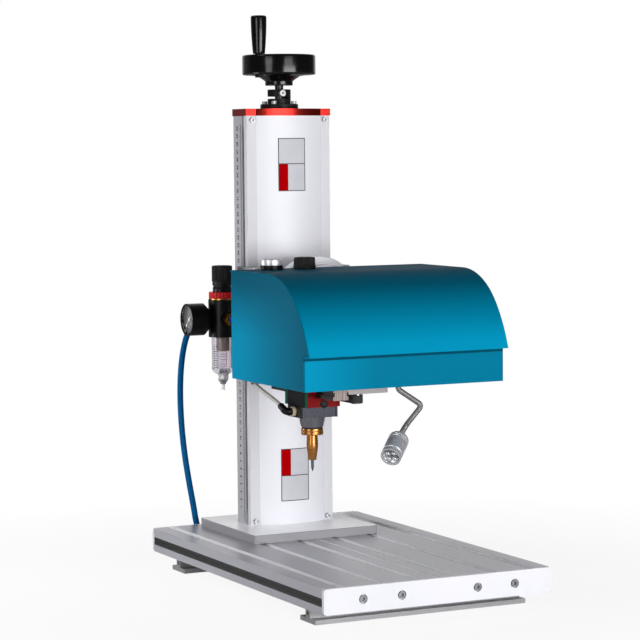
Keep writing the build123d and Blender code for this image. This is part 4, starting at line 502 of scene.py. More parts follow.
def add_piece(name, shape, material, body, replaced=(), sharp=35.0):
    """A mesh piece at the origin, from points and faces: doubles merged, faces turned
    outwards, edges sharp past an angle. It rides on a body and may replace CAD nodes."""
    points, faces = shape
    mesh = bpy.data.meshes.new(name)
    mesh.from_pydata(np.asarray(points).reshape(-1, 3).tolist(), [],
                     faces if isinstance(faces, list) else faces.tolist())
    edit = bmesh.new()
    edit.from_mesh(mesh)
    bmesh.ops.remove_doubles(edit, verts=edit.verts, dist=1e-6)
    bmesh.ops.recalc_face_normals(edit, faces=edit.faces)
    edit.to_mesh(mesh)
    edit.free()
    mesh.shade_smooth()
    mesh.set_sharp_from_angle(angle=radians(sharp))
    mesh.materials.append(material)
    piece = bpy.data.objects.new(name, mesh)
    bpy.context.scene.collection.objects.link(piece)
    if body:
        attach(piece, body)
    if replaced:
        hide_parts(*replaced)
    return piece


def moved(points, matrix):
    """Points of an array turned and shifted by a matrix."""
    matrix = np.array(matrix)
    return np.asarray(points) @ matrix[:3, :3].T + matrix[:3, 3]


def axis_frame(origin, axis):
    """A matrix whose Z runs along the axis from the origin, which is in millimetres."""
    turn = Vector(axis).to_track_quat("Z", "Y").to_matrix().to_4x4()
    return Matrix.Translation(mm * Vector(origin)) @ turn


def face_frame(origin, across, upward):
    """A matrix for flat marks: X across, Y upward and Z out of the face."""
    across, upward = Vector(across), Vector(upward)
    turn = Matrix((across, upward, across.cross(upward))).transposed().to_4x4()
    return Matrix.Translation(mm * Vector(origin)) @ turn


print("grids and pieces are ready")


# %% Profiles and paths
def rounded(corners, steps=5):
    """A line with rounded corners. Each corner is its place and a radius, and its round is
    the quadratic curve (1-t)^2 a + 2t(1-t) corner + t^2 b between points a and b that lie
    that radius away on its two sides."""
    corners = mm * np.array(corners, float)
    places, radii = corners[:, :-1], corners[:, -1]
    t = np.linspace(0, 1, steps)[:, None]
    points = []
    for index, (corner, radius) in enumerate(zip(places, radii)):
        if radius == 0:
            points.append(corner[None])
            continue
        before = places[index - 1] - corner
        after = places[(index + 1) % len(places)] - corner
        a = corner + before / np.linalg.norm(before) * radius
        b = corner + after / np.linalg.norm(after) * radius
        points.append((1 - t) ** 2 * a + 2 * t * (1 - t) * corner + t ** 2 * b)
    return np.concatenate(points)


def even(path, step):
    """The same line with points at even steps along it, and their distance from its start."""
    along = np.concatenate([[0], np.cumsum(np.linalg.norm(np.diff(path, axis=0), axis=1))])
    places = np.linspace(0, along[-1], int(along[-1] / step) + 2)
    return np.stack([np.interp(places, along, axis) for axis in path.T], axis=-1), places


def turned(profile, origin, axis, segments, relief):
    """Points and faces of a turned piece: (r cos a, r sin a, h) for each radius r and height
    h of the profile and each angle a. Relief is a function of a, h and r that is added to r."""
    angle = np.linspace(0, tau, segments, endpoint=False)[None, :]
    radius, height = profile[:, :1], profile[:, 1:]
    if relief is not None:
        radius = np.where(radius > 0, radius + relief(angle, height, radius), 0.0)
    points = np.stack(np.broadcast_arrays(radius * np.cos(angle), radius * np.sin(angle), height),
                      axis=-1)
    return (moved(points.reshape(-1, 3), axis_frame(origin, axis)),
            grid_faces(len(profile), segments, closed=True).tolist())


def turned_shape(corners, origin, axis=Z_AXIS, relief=None, segments=96, row=None):
    """A turned piece from its profile's corners, each (radius, height, rounding). A profile
    that doesn't start on the axis is closed into a ring. A row's height adds even rows."""
    profile = rounded(corners)
    if profile[0, 0] > 0:
        profile = np.concatenate([profile, profile[:1]])
    if row is not None:
        profile = even(profile, row * mm)[0]
    return turned(profile, origin, axis, segments, relief)


def tube(path, radius, side, segments=24):
    """Points and faces of a tube: path + radius (cos a n + sin a b), where n is square to
    the path and to the side vector, and b to the path and to n. Its ends are capped."""
    direction = np.gradient(path, axis=0)
    direction /= np.linalg.norm(direction, axis=1, keepdims=True)
    across = np.cross(direction, side)
    across /= np.linalg.norm(across, axis=1, keepdims=True)
    upward = np.cross(direction, across)
    ends = [0, *range(len(path)), len(path) - 1]
    radius = np.broadcast_to(radius, (len(path),))[ends].copy()
    radius[[0, -1]] = 0
    path, across, upward = path[ends], across[ends][:, None], upward[ends][:, None]
    angle = np.linspace(0, tau, segments, endpoint=False)[None, :, None]
    points = path[:, None] + radius[:, None, None] * (np.cos(angle) * across
                                                      + np.sin(angle) * upward)
    return points.reshape(-1, 3), grid_faces(len(path), segments, closed=True).tolist()


print("profiles and paths are ready")

# %% [markdown]
# ## Reliefs
# A knurl, a row of flutes and a thread are small changes of a turned piece's radius. Each is
# a wave round the axis or along it, so each is one formula. A relief holds between two
# heights and is nothing outside them.


# %% Flutes, knurls, threads and flats
def flutes(count, depth, low, high):
    """-depth (1 + cos(count a)) / 2: rounded grooves that run along the axis."""
    return lambda angle, height, radius: (
        -depth * mm * (0.5 + 0.5 * np.cos(count * angle)) * within(height, low, high))


def knurl(count, pitch, depth, low, high):
    """-depth (1 - |sin(count a / 2 + k h) sin(count a / 2 - k h)|), k = pi / pitch: two sets
    of slanting grooves that cross, and leave small diamonds."""
    k = pi / (pitch * mm)
    return lambda angle, height, radius: (
        -depth * mm * (1 - np.abs(np.sin(count * angle / 2 + k * height)
                                  * np.sin(count * angle / 2 - k * height)))
        * within(height, low, high))


def thread(lead, starts, depth, low, high):
    """-depth times a triangle wave of starts (h / lead - a / tau): a screw thread."""
    return lambda angle, height, radius: (
        -depth * mm * np.abs(2 * np.mod(starts * (height / (lead * mm) - angle / tau), 1) - 1)
        * within(height, low, high))


def flats(half_width, count, low, high):
    """min(r, w / |cos a'|) - r: count flats at a distance w, a' counted from each one's middle."""
    def relief(angle, height, radius):
        share = tau / count
        middle = np.mod(angle + share / 2, share) - share / 2
        cut = np.minimum(radius, half_width * mm / np.cos(middle)) - radius
        return cut * within(height, low, high)
    return relief


print("reliefs are ready")


# %% Marks: boxes, bands and lettering
def boxes(low, high):
    """Closed boxes, one for each pair of lowest and highest corners."""
    low, high = mm * np.asarray(low, float)[:, None], mm * np.asarray(high, float)[:, None]
    unit = np.array([(0, 0, 0), (1, 0, 0), (1, 1, 0), (0, 1, 0),
                     (0, 0, 1), (1, 0, 1), (1, 1, 1), (0, 1, 1)])
    sides = np.array([(0, 3, 2, 1), (4, 5, 6, 7), (0, 1, 5, 4),
                      (1, 2, 6, 5), (2, 3, 7, 6), (3, 0, 4, 7)])
    faces = sides + 8 * np.arange(len(low))[:, None, None]
    return (low + (high - low) * unit).reshape(-1, 3), faces.reshape(-1, 4).tolist()


def band(line, low, high, thickness):
    """A thin upright band on a line in the XY plane: four corners at each of its points, on
    the line and one thickness to its right, at two heights. Its ends are closed."""
    direction = np.gradient(line, axis=0)
    direction /= np.linalg.norm(direction, axis=1, keepdims=True)
    outer = line + thickness * mm * np.stack([direction[:, 1], -direction[:, 0]], axis=-1)
    points = np.stack([np.insert(edge, 2, height * mm, axis=1) for edge, height in
                       ((outer, low), (outer, high), (line, high), (line, low))], axis=1)
    last = 4 * len(line) - 4
    faces = grid_faces(len(line), 4, closed=True).tolist()
    return points.reshape(-1, 3), faces + [[0, 1, 2, 3], [last + 3, last + 2, last + 1, last]]


def lettering(word, height, matrix, depth=0.08, bold=0.0):
    """A word as a thin solid, centred on the matrix's origin and facing along its Z. Bold is
    how far its outline grows."""
    font = bpy.data.curves.new(word, "FONT")
    font.body, font.size, font.extrude = word, height * mm, depth * mm
    font.offset = bold * mm
    font.align_x, font.align_y, font.resolution_u = "CENTER", "CENTER", 3
    holder = bpy.data.objects.new(word, font)
    mesh = bpy.data.meshes.new_from_object(holder)
    points = np.empty(3 * len(mesh.vertices))
    mesh.vertices.foreach_get("co", points)
    faces = [list(face.vertices) for face in mesh.polygons]
    bpy.data.objects.remove(holder)
    bpy.data.curves.remove(font)
    bpy.data.meshes.remove(mesh)
    return moved(points.reshape(-1, 3), matrix), faces


print("marks are ready")

# %% [markdown]
# ## The air hose
# The hose is 8 mm polyurethane tube, which is springy: it leaves the fitting straight, falls
# in one wide bow behind the table, and its spare length lies on the floor in a coil.
# A curve object with a bevel gives the round section. Its spline is NURBS, so a few control
# points make one smooth line with no kinks.

# %% Hose line
hose_route = mm * np.array([
    (-88.0, 188.5, 328.5), (-88.0, 232.0, 328.5), (-88.0, 273.0, 304.0),
    (-87.6, 293.5, 270.0), (-86.8, 303.5, 229.0), (-84.8, 306.3, 184.0),
    (-82.7, 302.2, 142.0), (-80.7, 292.3, 103.0), (-79.5, 280.0, 70.0),
    (-77.5, 273.5, 40.5), (-65.0, 272.3, 17.5), (-42.0, 272.0, 4.05),
    (-15.5, 272.0, 4.05),
])
hose_diameter = 8 * mm
coil_radius = 62 * mm
coil_pitch = 8.6 * mm
inner_half_turns, outer_half_turns = 7, 3
end_lift = 2.2 * mm
tail_length = 9 * mm
points_per_half_turn = 8


def coil_points():
    """Half circles about shifting centres: each end stays put while the radius changes by
    half a pitch. The inner ones lie on the floor, one climbs, the outer ones lie on them."""
    x, y, z = hose_route[-1]
    radius, side = coil_radius, 1
    share = (np.arange(points_per_half_turn) + 0.5) / points_per_half_turn
    swell = 1 / cos(pi / points_per_half_turn / 2)
    parts = []
    for half_turn in range(inner_half_turns + 1 + outer_half_turns):
        climb = 0
        if half_turn == inner_half_turns:
            climb = coil_pitch
        if half_turn == inner_half_turns + outer_half_turns:
            climb = end_lift
        angle = pi * share
        parts.append(np.stack([x + side * radius * swell * np.sin(angle),
                               y + side * radius * (1 - swell * np.cos(angle)),
                               z + climb * share], axis=-1))
        y, z, side = y + side * 2 * radius, z + climb, -side
        radius += -coil_pitch / 2 if half_turn < inner_half_turns else coil_pitch / 2
    parts.append(np.array([(x, y, z), (x + side * tail_length, y, z)]))
    return np.concatenate(parts)


hose_points = np.concatenate([hose_route, coil_points()])
print("hose control points", len(hose_points))

# %% Hose piece
hose_curve = bpy.data.curves.new("blue_air_hose", "CURVE")
hose_curve.dimensions = "3D"
hose_curve.bevel_depth = hose_diameter / 2
hose_curve.bevel_resolution = 8
hose_curve.use_fill_caps = True
hose_curve.resolution_u = 6
spline = hose_curve.splines.new("NURBS")
spline.points.add(len(hose_points) - 1)
spline.points.foreach_set("co", np.column_stack([hose_points, np.ones(len(hose_points))]).ravel())
spline.order_u = 3
spline.use_endpoint_u = True
hose_curve.materials.append(hose_blue)
hose = bpy.data.objects.new("blue_air_hose", hose_curve)
bpy.context.scene.collection.objects.link(hose)
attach(hose, "root")
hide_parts("air_hose", "air_hose_coil")
print("hose piece", hose.name)

# %% [markdown]
# ## Handwheel
# The wheel is one moulding: a hub, a cone, a flat web and a deep rim with rounded edges, so
# it is a turned profile. Glossy black plastic shows its shape by the highlights alone, and
# the rounded edges carry them round. The handle widens upwards and turns on a spindle, so
# it is a hollow piece of its own.

# %% Handwheel and its handle
lift_axis = (0, 167, 0)
add_piece("handwheel_moulding", turned_shape([
    (5.55, 626, 0.4), (18, 626, 1.5), (18, 631.8, 0.8), (27.5, 638.2, 1), (40.5, 639.6, 1),
    (40.5, 641, 0.5), (41.5, 641, 0.5), (41.5, 639.6, 1), (47.5, 639.6, 3), (47.5, 665.5, 3),
    (40.5, 665.5, 2), (40.5, 647, 3), (13, 647, 2), (13, 659, 1.2),
    (5.55, 659, 0.4)], lift_axis, segments=160),
    black_gloss, "handwheel", ["handwheel"])
handle_axis = (-33.829, 154.687, 0)
add_piece("turning_handle", turned_shape([
    (0, 711.6, 0), (3.05, 711.6, 0.2), (3.05, 666.3, 0), (7.8, 666.3, 0.6), (8.9, 678, 5),
    (10.0, 697, 6), (10.3, 715, 3.0), (0, 715, 0)], handle_axis),
    black_gloss, "handwheel_handle", ["handwheel_handle"])
print("handwheel and handle")

# %% [markdown]
# ## Screws with real threads
# The lift screw has one start and a lead of 5 mm, the X screw four starts and a lead of
# 8 mm. Both threads are triangle waves on a cylinder. A bump would look the same from far
# away, but its outline would stay straight.

# %% Threads
add_piece("lift_screw", turned_shape([
    (0, 60.3, 0), (4, 60.3, 0.3), (4, 75.3, 0), (6, 75.3, 0.3), (6, 571.7, 0.3),
    (5.5, 571.7, 0), (5.5, 659, 0.4), (0, 659, 0)], lift_axis,
    relief=thread(lead=5, starts=1, depth=0.9, low=76.5, high=570.5), segments=24, row=0.83),
    lift_screw_metal, "handwheel", ["lead_screw"])
x_screw_start = (-124, 0.4, 345)
add_piece("x_lead_screw", turned_shape([
    (0, 0, 0), (4, 0, 0.3), (4, 207.7, 0.3), (0, 207.7, 0)], x_screw_start, X_AXIS,
    relief=thread(lead=8, starts=4, depth=0.6, low=8, high=198), segments=24, row=0.34),
    turned_steel, "x_screw", ["x_screw"])
print("two lead screws")

# %% [markdown]
# ## Ruler and labels
# The centimetre ruler is printed on the column's left face: one number and a long tick each
# centimetre, a short tick each millimetre. The numbers run up the column. The two label
# plates on the front cover are pale, with a dark frame line and a red field. They follow the
# cover's bulge, which is an arc, so each band of them is worked out on that arc.

# %% Ruler
ruler_zero, last_number = 71, 50
column_side_x, tick_start_y, number_middle_y = -59.0, 157.4, 169.6
tick_half_width = 0.22
bracket_low, bracket_high = 314, 357
marks = np.arange(-8, 10 * last_number + 6)
heights = ruler_zero + marks
free = (heights < bracket_low) | (heights > bracket_high)
marks, heights = marks[free], heights[free]
length = np.select([marks % 10 == 0, marks % 5 == 0], [5.0, 4.2], 3.4)
ticks = boxes(np.stack([0 * length + (column_side_x - 0.06), 0 * length + tick_start_y,
                        heights - tick_half_width], axis=-1),
              np.stack([0 * length + (column_side_x + 0.02), tick_start_y + length,
                        heights + tick_half_width], axis=-1))
numbers = [lettering(str(n), 6.2, face_frame((column_side_x, number_middle_y,
                                              ruler_zero + 10 * n), Z_AXIS, Y_AXIS), bold=0.14)
           for n in range(1, last_number + 1)
           if not bracket_low < ruler_zero + 10 * n < bracket_high]
add_piece("ruler_marks", joined([ticks, *numbers]), mark_black, "root")
print("ruler ticks", len(marks), "numbers", len(numbers))

# %% Label plates
bulge_half_width, bulge_depth, bulge_front = 46, 10.8, 130
bulge_radius = (bulge_half_width ** 2 + bulge_depth ** 2) / (2 * bulge_depth)


def cover_band(left, right, low, high, thickness):
    """A thin plate on the bulging cover, whose front is y = front + R - sqrt(R^2 - x^2)."""
    x = np.linspace(left, right, max(2, int((right - left) / 2)))
    y = bulge_front + bulge_radius - np.sqrt(bulge_radius ** 2 - x ** 2)
    return band(mm * np.stack([x, y], axis=-1), low, high, thickness)


def label(left, right, low, high, middle, field_low, field_high):
    """Plate, red field and frame lines of one label, as three lists of bands."""
    line, field_right = 1.0, left + 13.2
    plate_depth, field_depth, line_depth = 0.15, 0.22, 0.25
    plate = [cover_band(left, right, low, high, plate_depth)]
    field = [cover_band(left + line, field_right, field_low, field_high, field_depth)]
    frame_lines = [cover_band(left, right, z, z + line, line_depth)
                   for z in (low, middle, high - line)]
    frame_lines += [cover_band(x, x + line, low, high, line_depth)
                    for x in (left, right - line)]
    return plate, field, frame_lines


upper = label(-19, 19, 490.4, 558.2, 524.9, 491.1, 524.9)
lower = label(-19.3, 20, 90, 158, 122.6, 123.3, 157.3)
for name, parts, material in zip(("label_plates", "label_fields", "label_frames"),
                                 zip(upper, lower), (label_pale, label_red, mark_grey)):
    add_piece(name, joined([part for group in parts for part in group]), material, "root")
print("upper and lower label")

# %% [markdown]
# ## Fillers in the table's sides
# A black rubber strip closes the slot in each side of the table. It is a thin profile with
# two shallow grooves, pressed in a little below the surface.

# %% Side strips
strip_end = 247.9
strip_section = np.array([(149.5, 28.3), (149.5, 31.4), (148.9, 31.9), (149.5, 32.4),
                          (149.5, 33.6), (148.9, 34.1), (149.5, 34.6), (149.5, 37.7),
                          (144.1, 37.7), (144.1, 28.3)])
for side, name in ((-1, "left"), (1, "right")):
    section = mm * strip_section * (side, 1)
    ends = [np.insert(section, 1, y * mm, axis=1) for y in (-strip_end, strip_end)]
    count = len(section)
    faces = grid_faces(2, count, closed=True).tolist()
    faces += [list(range(count)), list(range(count, 2 * count))]
    add_piece(f"side_strip_{name}", (np.concatenate(ends), faces), strip_black, "root")
print("left and right side strip")

# %% [markdown]
# ## Socket and knobs
# The round socket on the head has a black base, a plated ring and an insert with pins. The
# air knob beside it and the regulator's knob are moulded with grip flutes, and the red ring
# nut below the regulator's knob is notched.

# %% Signal socket
socket_axis = (-87.7, 8.8, 0)
add_piece("socket_base", turned_shape([
    (0, 385, 0), (8, 385, 0.4), (8, 397, 0), (13.75, 397, 0.4), (13.75, 402.6, 0.6),
    (0, 402.6, 0)], socket_axis, relief=flutes(count=60, depth=0.25, low=397.6, high=401.8)),
    black_satin, "head", ["signal_socket"])
add_piece("socket_ring", turned_shape([
    (9.5, 402.6, 0), (13.6, 402.6, 0.5), (13.6, 409.8, 1.0), (9.5, 409.8, 0.6)], socket_axis),
    satin_chrome, "head")
pin_places = [(4.6 * cos(a), 4.6 * sin(a)) for a in np.linspace(0, tau, 6, endpoint=False)]
insert = turned_shape([(0, 402.6, 0), (9.4, 402.6, 0), (9.4, 404.6, 0.3), (0, 404.6, 0)],
                      socket_axis, segments=48)
add_piece("socket_insert", insert, black_matt, "head")
add_piece("socket_pins", joined([turned_shape(
    [(0, 404.4, 0), (0.8, 404.4, 0), (0.8, 408.2, 0.4), (0, 408.2, 0)],
    (socket_axis[0] + x, socket_axis[1] + y, 0), segments=12)
    for x, y in [(0, 0)] + pin_places]), brass, "head")
print("socket with", len(pin_places) + 1, "pins")

# %% Knobs and ring nut
air_knob_axis = (-42.9, 8.8, 0)
add_piece("air_knob", turned_shape([
    (0, 387, 0), (4, 387, 0.3), (4, 397.3, 0), (14, 397.3, 0.5), (14, 400.2, 0.5),
    (13.5, 400.6, 0), (13.1, 411.3, 1.6), (9, 411.3, 0.4), (8.6, 410.7, 0.3), (0, 410.7, 0)],
    air_knob_axis, relief=flutes(count=30, depth=0.7, low=400.7, high=410.6), segments=240,
    row=0.6),
    black_matt, "air_flow_knob", ["air_flow_knob"])
air_unit_x, air_unit_y, port_z = -88, 157.8, 328.5
air_unit_axis = (air_unit_x, air_unit_y, 0)
add_piece("pressure_knob", turned_shape([
    (0, 366.7, 0), (12.9, 366.7, 0.8), (11.3, 369.2, 0.6), (11.3, 370.6, 0), (12.5, 370.9, 0.3),
    (12.5, 376.3, 0.3), (13.2, 376.6, 0.3), (13.2, 396.3, 2.0), (9.6, 396.3, 0.5),
    (9.2, 395.7, 0.3), (0, 395.7, 0)], air_unit_axis,
    relief=flutes(count=32, depth=0.8, low=376.8, high=395.2), segments=256, row=0.6),
    black_matt, "regulator_knob", ["regulator_knob"])
add_piece("red_ring_nut", turned_shape([
    (12.05, 354.7, 0.3), (17.2, 354.7, 0.8), (17.2, 362.6, 0.8), (12.05, 362.6, 0.3)],
    air_unit_axis, relief=flutes(count=24, depth=0.7, low=355.2, high=362.1), segments=240,
    row=0.6),
    red_plastic, "root", ["regulator_ring_nut"])
print("two knobs and a ring nut")

# %% [markdown]
# ## Gauge dial and the bowl's scale
# The dial is a grey disc with pale ticks and numbers over 270 degrees, behind the lens. The
# filter bowl carries a printed scale: thin lines on the clear wall, on an arc of it.

# %% Gauge dial
dial = face_frame((-129.35, air_unit_y, port_z), -Y_AXIS, Z_AXIS)
add_piece("gauge_dial", turned_shape([
    (0, 0, 0), (18.3, 0, 0.1), (18.3, 0.3, 0.1), (0, 0.3, 0)],
    (-129.05, air_unit_y, port_z), -X_AXIS),
    dial_grey, "root")
dial_start, dial_sweep, dial_steps = 225, 270, 50
dial_tick_end, dial_tick_half, dial_number_radius = 17.0, 0.16, 11.2
steps = np.arange(dial_steps + 1)
turn = radians(dial_start) - steps * radians(dial_sweep) / dial_steps
inner = np.select([steps % 10 == 0, steps % 5 == 0], [13.6, 14.6], 15.4)
points, faces = boxes(np.stack([inner, 0 * inner - dial_tick_half, 0 * inner], axis=-1),
                      np.stack([0 * inner + dial_tick_end, 0 * inner + dial_tick_half,
                                0 * inner + 0.1], axis=-1))
points = points.reshape(-1, 8, 3)
cosine, sine = np.cos(turn)[:, None], np.sin(turn)[:, None]
points = np.stack([points[..., 0] * cosine - points[..., 1] * sine,
                   points[..., 0] * sine + points[..., 1] * cosine, points[..., 2]], axis=-1)
marks = [(moved(points.reshape(-1, 3), dial), faces)]
for value in range(0, 11, 2):
    angle = radians(dial_start - dial_sweep / 10 * value)
    place = Vector((dial_number_radius * cos(angle), dial_number_radius * sin(angle), 0))
    marks.append(lettering(str(value), 3.4, dial @ Matrix.Translation(mm * place), bold=0.04))
add_piece("gauge_marks", joined(marks), dial_print, "root")
print("dial ticks", len(steps), "numbers", len(marks) - 1)

# %% Bowl scale and drain
bowl_radius, print_depth = 14.2, 0.06


def bowl_band(first, last, height, width):
    """A printed line on the bowl, between two angles that count from the front."""
    angle = np.radians(np.linspace(first, last, 12) - 90)
    line = mm * np.stack([air_unit_x + bowl_radius * np.cos(angle),
                          air_unit_y + bowl_radius * np.sin(angle)], axis=-1)
    return band(line, height, height + width, print_depth)


scale_heights = [267.3, 270.6, 276.6, 280.2, 283.1, 287.2]
red_first, red_last = -40, -5
red_lines = [bowl_band(red_first, red_last, height, 0.45) for height in scale_heights]
red_lines.append(bowl_band(red_last - 2, red_last, scale_heights[0],
                           scale_heights[-1] - scale_heights[0]))
add_piece("bowl_scale", joined(red_lines), scale_red, "root")
black_lines = [bowl_band(-84, -50, height, 0.6) for height in np.arange(266, 295, 2.9)]
add_piece("bowl_graduations", joined(black_lines), mark_black, "root")
add_piece("drain_nut_turned", turned_shape([
    (2.2, 244, 0.2), (3.6, 244, 0.5), (4.2, 246.5, 0.6), (6.2, 248.6, 0.5), (6.2, 250, 0.4),
    (6.8, 250.5, 0.4), (6.8, 257, 0.4), (2.2, 257, 0.2)], air_unit_axis,
    relief=flutes(count=40, depth=0.25, low=250.9, high=256.4), segments=160, row=0.5),
    dull_plate, "root", ["drain_nut"])
print("bowl scale lines", len(red_lines) + len(black_lines))

# %% [markdown]
# ## Stylus nozzle
# The brass nozzle is turned from bar: a black seal, a wide flange, a barrel that swells a
# little and a curved taper, with two flats for a spanner. The elbow beside it is a push-in
# fitting: a cream thread seal, a black bend and a blue release ring.

# %% Nozzle and seal
stylus_axis = (-76, -76, 0)
two_flats = flats(half_width=6.35, count=2, low=187.6, high=199.5)
add_piece("brass_nozzle", turned_shape([
    (1.75, 212, 0.1), (9.5, 212, 0), (9.5, 210, 0), (13.25, 210, 0.5), (13.25, 206.9, 0.2),
    (12.9, 206.7, 0.1), (12.9, 206.3, 0.1), (13.25, 206.1, 0.2), (13.25, 202.3, 0.7),
    (6.5, 202.3, 0.4), (6.7, 196, 2), (7.1, 187.3, 5), (4.6, 171.6, 0.5), (1.75, 171.6, 0.2)],
    stylus_axis, relief=two_flats, segments=128, row=0.4),
    brass, "y_carriage", ["stylus_nozzle"])
add_piece("nozzle_seal", turned_shape([
    (9.6, 210, 0), (12.4, 210, 0.5), (12.4, 212, 0.5), (9.6, 212, 0)], stylus_axis),
    belt_rubber, "y_carriage")
add_piece("stylus_point", turned_shape([
    (0, 226.9, 0), (8, 226.9, 0.4), (8, 220.9, 0.4), (1.7, 220.9, 0), (1.7, 162.4, 0.3),
    (0.4, 157.9, 0.15), (0, 157.9, 0)], stylus_axis, segments=64),
    carbide, "stylus_pin", ["stylus_pin"])
print("nozzle, seal and point")

# %% Screw on the guide block's front plate
plate_face_y = -108.2
plate_screw_place = (-75.6, plate_face_y, 242.1)
add_piece("plate_screw", turned_shape([
    (0, -3, 0), (2.4, -3, 0), (2.4, 0, 0), (4.3, 0, 0.2), (4.3, 1.8, 0.9), (2.2, 2.1, 0.2),
    (2.0, 1.6, 0), (0, 1.6, 0)], plate_screw_place, -Y_AXIS, segments=48),
    black_oxide, "y_carriage")
add_piece("plate_screw_ring", turned_shape([
    (4.4, 0, 0), (5.4, 0, 0), (5.4, 0.4, 0.1), (4.4, 0.4, 0.1)], plate_screw_place, -Y_AXIS,
    segments=48), black_oxide, "y_carriage")
add_piece("plate_plug", turned_shape([
    (0, 0, 0), (1.9, 0, 0), (1.9, 0.15, 0.1), (0, 0.15, 0)], (-94.2, plate_face_y, 252.5), -Y_AXIS,
    segments=32), mark_black, "y_carriage")
print("plate screw")

# %% Elbow, release rings and air tube
rise = radians(22)
stylus_y, elbow_z = -76.0, 231.5
elbow_start = np.array((-103.0, stylus_y, elbow_z))
elbow_corner = np.array((-110.6, stylus_y, elbow_z))
collet_way = np.array((0, cos(rise), sin(rise)))
collet_reach, thin_from = 16, 12.5
collet_end = elbow_corner + collet_reach * collet_way
bend = rounded([(*elbow_start, 0), (*elbow_corner, 5), (*(collet_end - collet_way), 0)], 9)
bend, along = even(bend, 0.6 * mm)
bend_radius = mm * (4.5 - 0.35 * (along > thin_from * mm))
add_piece("elbow_bend", tube(bend, bend_radius, (0, 0.2, 1), 32),
          black_satin, "y_carriage", ["elbow_fitting"])
add_piece("thread_seal", turned_shape([
    (0, 0, 0), (5.9, 0, 0.3), (5.9, 1.6, 0.2), (5.3, 1.8, 0), (5.3, 2.2, 0), (5.9, 2.4, 0.2),
    (5.9, 4.0, 0.4), (0, 4.0, 0)], (-99.5, stylus_y, elbow_z), -X_AXIS),
    seal_cream, "y_carriage")
add_piece("elbow_release_ring", turned_shape([
    (2.55, 0, 0), (3.9, 0, 0.2), (3.9, 1.9, 0.4), (2.55, 1.9, 0)],
    collet_end - 1.9 * collet_way, collet_way, segments=32),
    collet_blue, "y_carriage")
union_x, union_y = -114.0, 6.0
add_piece("union_release_ring", turned_shape([
    (2.55, 257.9, 0.2), (3.9, 257.9, 0.4), (3.9, 259.5, 0), (2.55, 259.5, 0)],
    (union_x, union_y, 0), segments=32), black_satin, "x_carriage")
t = np.linspace(0, 1, 60)[:, None]
tube_start, tube_end = collet_end - 2 * collet_way, np.array((union_x, union_y, 259.5))
tube_controls = [tube_start, tube_start + 24 * collet_way, tube_end - (0, 20, 9), tube_end]
tube_path = mm * ((1 - t) ** 3 * tube_controls[0] + 3 * t * (1 - t) ** 2 * tube_controls[1]
                  + 3 * t ** 2 * (1 - t) * tube_controls[2] + t ** 3 * tube_controls[3])
air_tube = add_piece("thin_air_tube", tube(tube_path, 2.5 * mm, (1, 0, 0), 20),
                     tube_clear, None, ["air_tube"])
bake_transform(air_tube)
print("elbow and air tube")

# %% [markdown]
# ## Toothed belt and pulleys
# The belt runs round two pulleys in a loop of two straight runs and two half circles. Its
# section is a rectangle, so four points at each step along the loop make it, and the inner
# two move in and out for the teeth. The outer two make shallow ribs on its back.

# %% Belt
pulley_x, front_y, rear_y = -44.2, -131.2, -26.0
straight = rear_y - front_y
inner_radius, outer_radius = 6.2, 7.6
belt_low, belt_high = 243.5, 253.5
teeth, steps_per_tooth = 120, 8
half_loop = straight + pi * inner_radius
tooth_pitch = 2 * half_loop / teeth
step_count = teeth * steps_per_tooth
steps = np.arange(step_count) / step_count * 2 * half_loop
lap, way = np.divmod(steps, half_loop)
bend_angle = np.clip((way - straight) / inner_radius, 0, pi) + pi * lap
centre_y = np.where(lap == 0, front_y + np.minimum(way, straight),
                    rear_y - np.minimum(way, straight))
normal = np.stack([np.cos(bend_angle), np.sin(bend_angle)], axis=-1)
wave = np.sin(tau * steps / tooth_pitch)
inner = inner_radius - 0.25 * (wave > 0)
outer = outer_radius - 0.3 * (wave < -0.2)
corners = []
for radius, height in ((inner, belt_low), (outer, belt_low), (outer, belt_high),
                       (inner, belt_high)):
    corners.append(np.column_stack([pulley_x + radius * normal[:, 0],
                                    centre_y + radius * normal[:, 1], height + 0 * radius]))
belt_points = mm * np.stack(corners, axis=1)
belt_points = np.concatenate([belt_points, belt_points[:1]])
add_piece("toothed_belt", (belt_points, grid_faces(len(belt_points), 4, closed=True).tolist()),
          belt_rubber, "x_carriage", ["y_belt"])
pulley_teeth = flutes(count=18, depth=0.5, low=243.2, high=253.8)
add_piece("front_pulley", turned_shape([
    (2.55, 242.7, 0.1), (5.9, 242.7, 0.3), (5.9, 254.3, 0.3), (2.55, 254.3, 0.1)],
    (pulley_x, front_y, 0), relief=pulley_teeth, segments=144),
    turned_steel, "y_pulley_front", ["y_pulley_front"])
add_piece("rear_pulley", turned_shape([
    (0, 242.7, 0), (5.9, 242.7, 0.3), (5.9, 254.3, 0.3), (2.5, 254.3, 0), (2.5, 282.2, 0.2),
    (0, 282.2, 0)], (pulley_x, rear_y, 0), relief=pulley_teeth, segments=144),
    turned_steel, "y_pulley_rear", ["y_pulley_rear"])
print("belt steps", len(steps), "tooth pitch", round(tooth_pitch, 2), "mm")

# %% [markdown]
# ## Work lamp
# A gooseneck is a coil of metal wire, so its outline is a row of small ribs: a wave on the
# radius of a tube. The lamp body is turned aluminium with a knurled grip, rings at its
# shoulder and a dark groove, and its cup holds four small mirror dishes with one LED each.

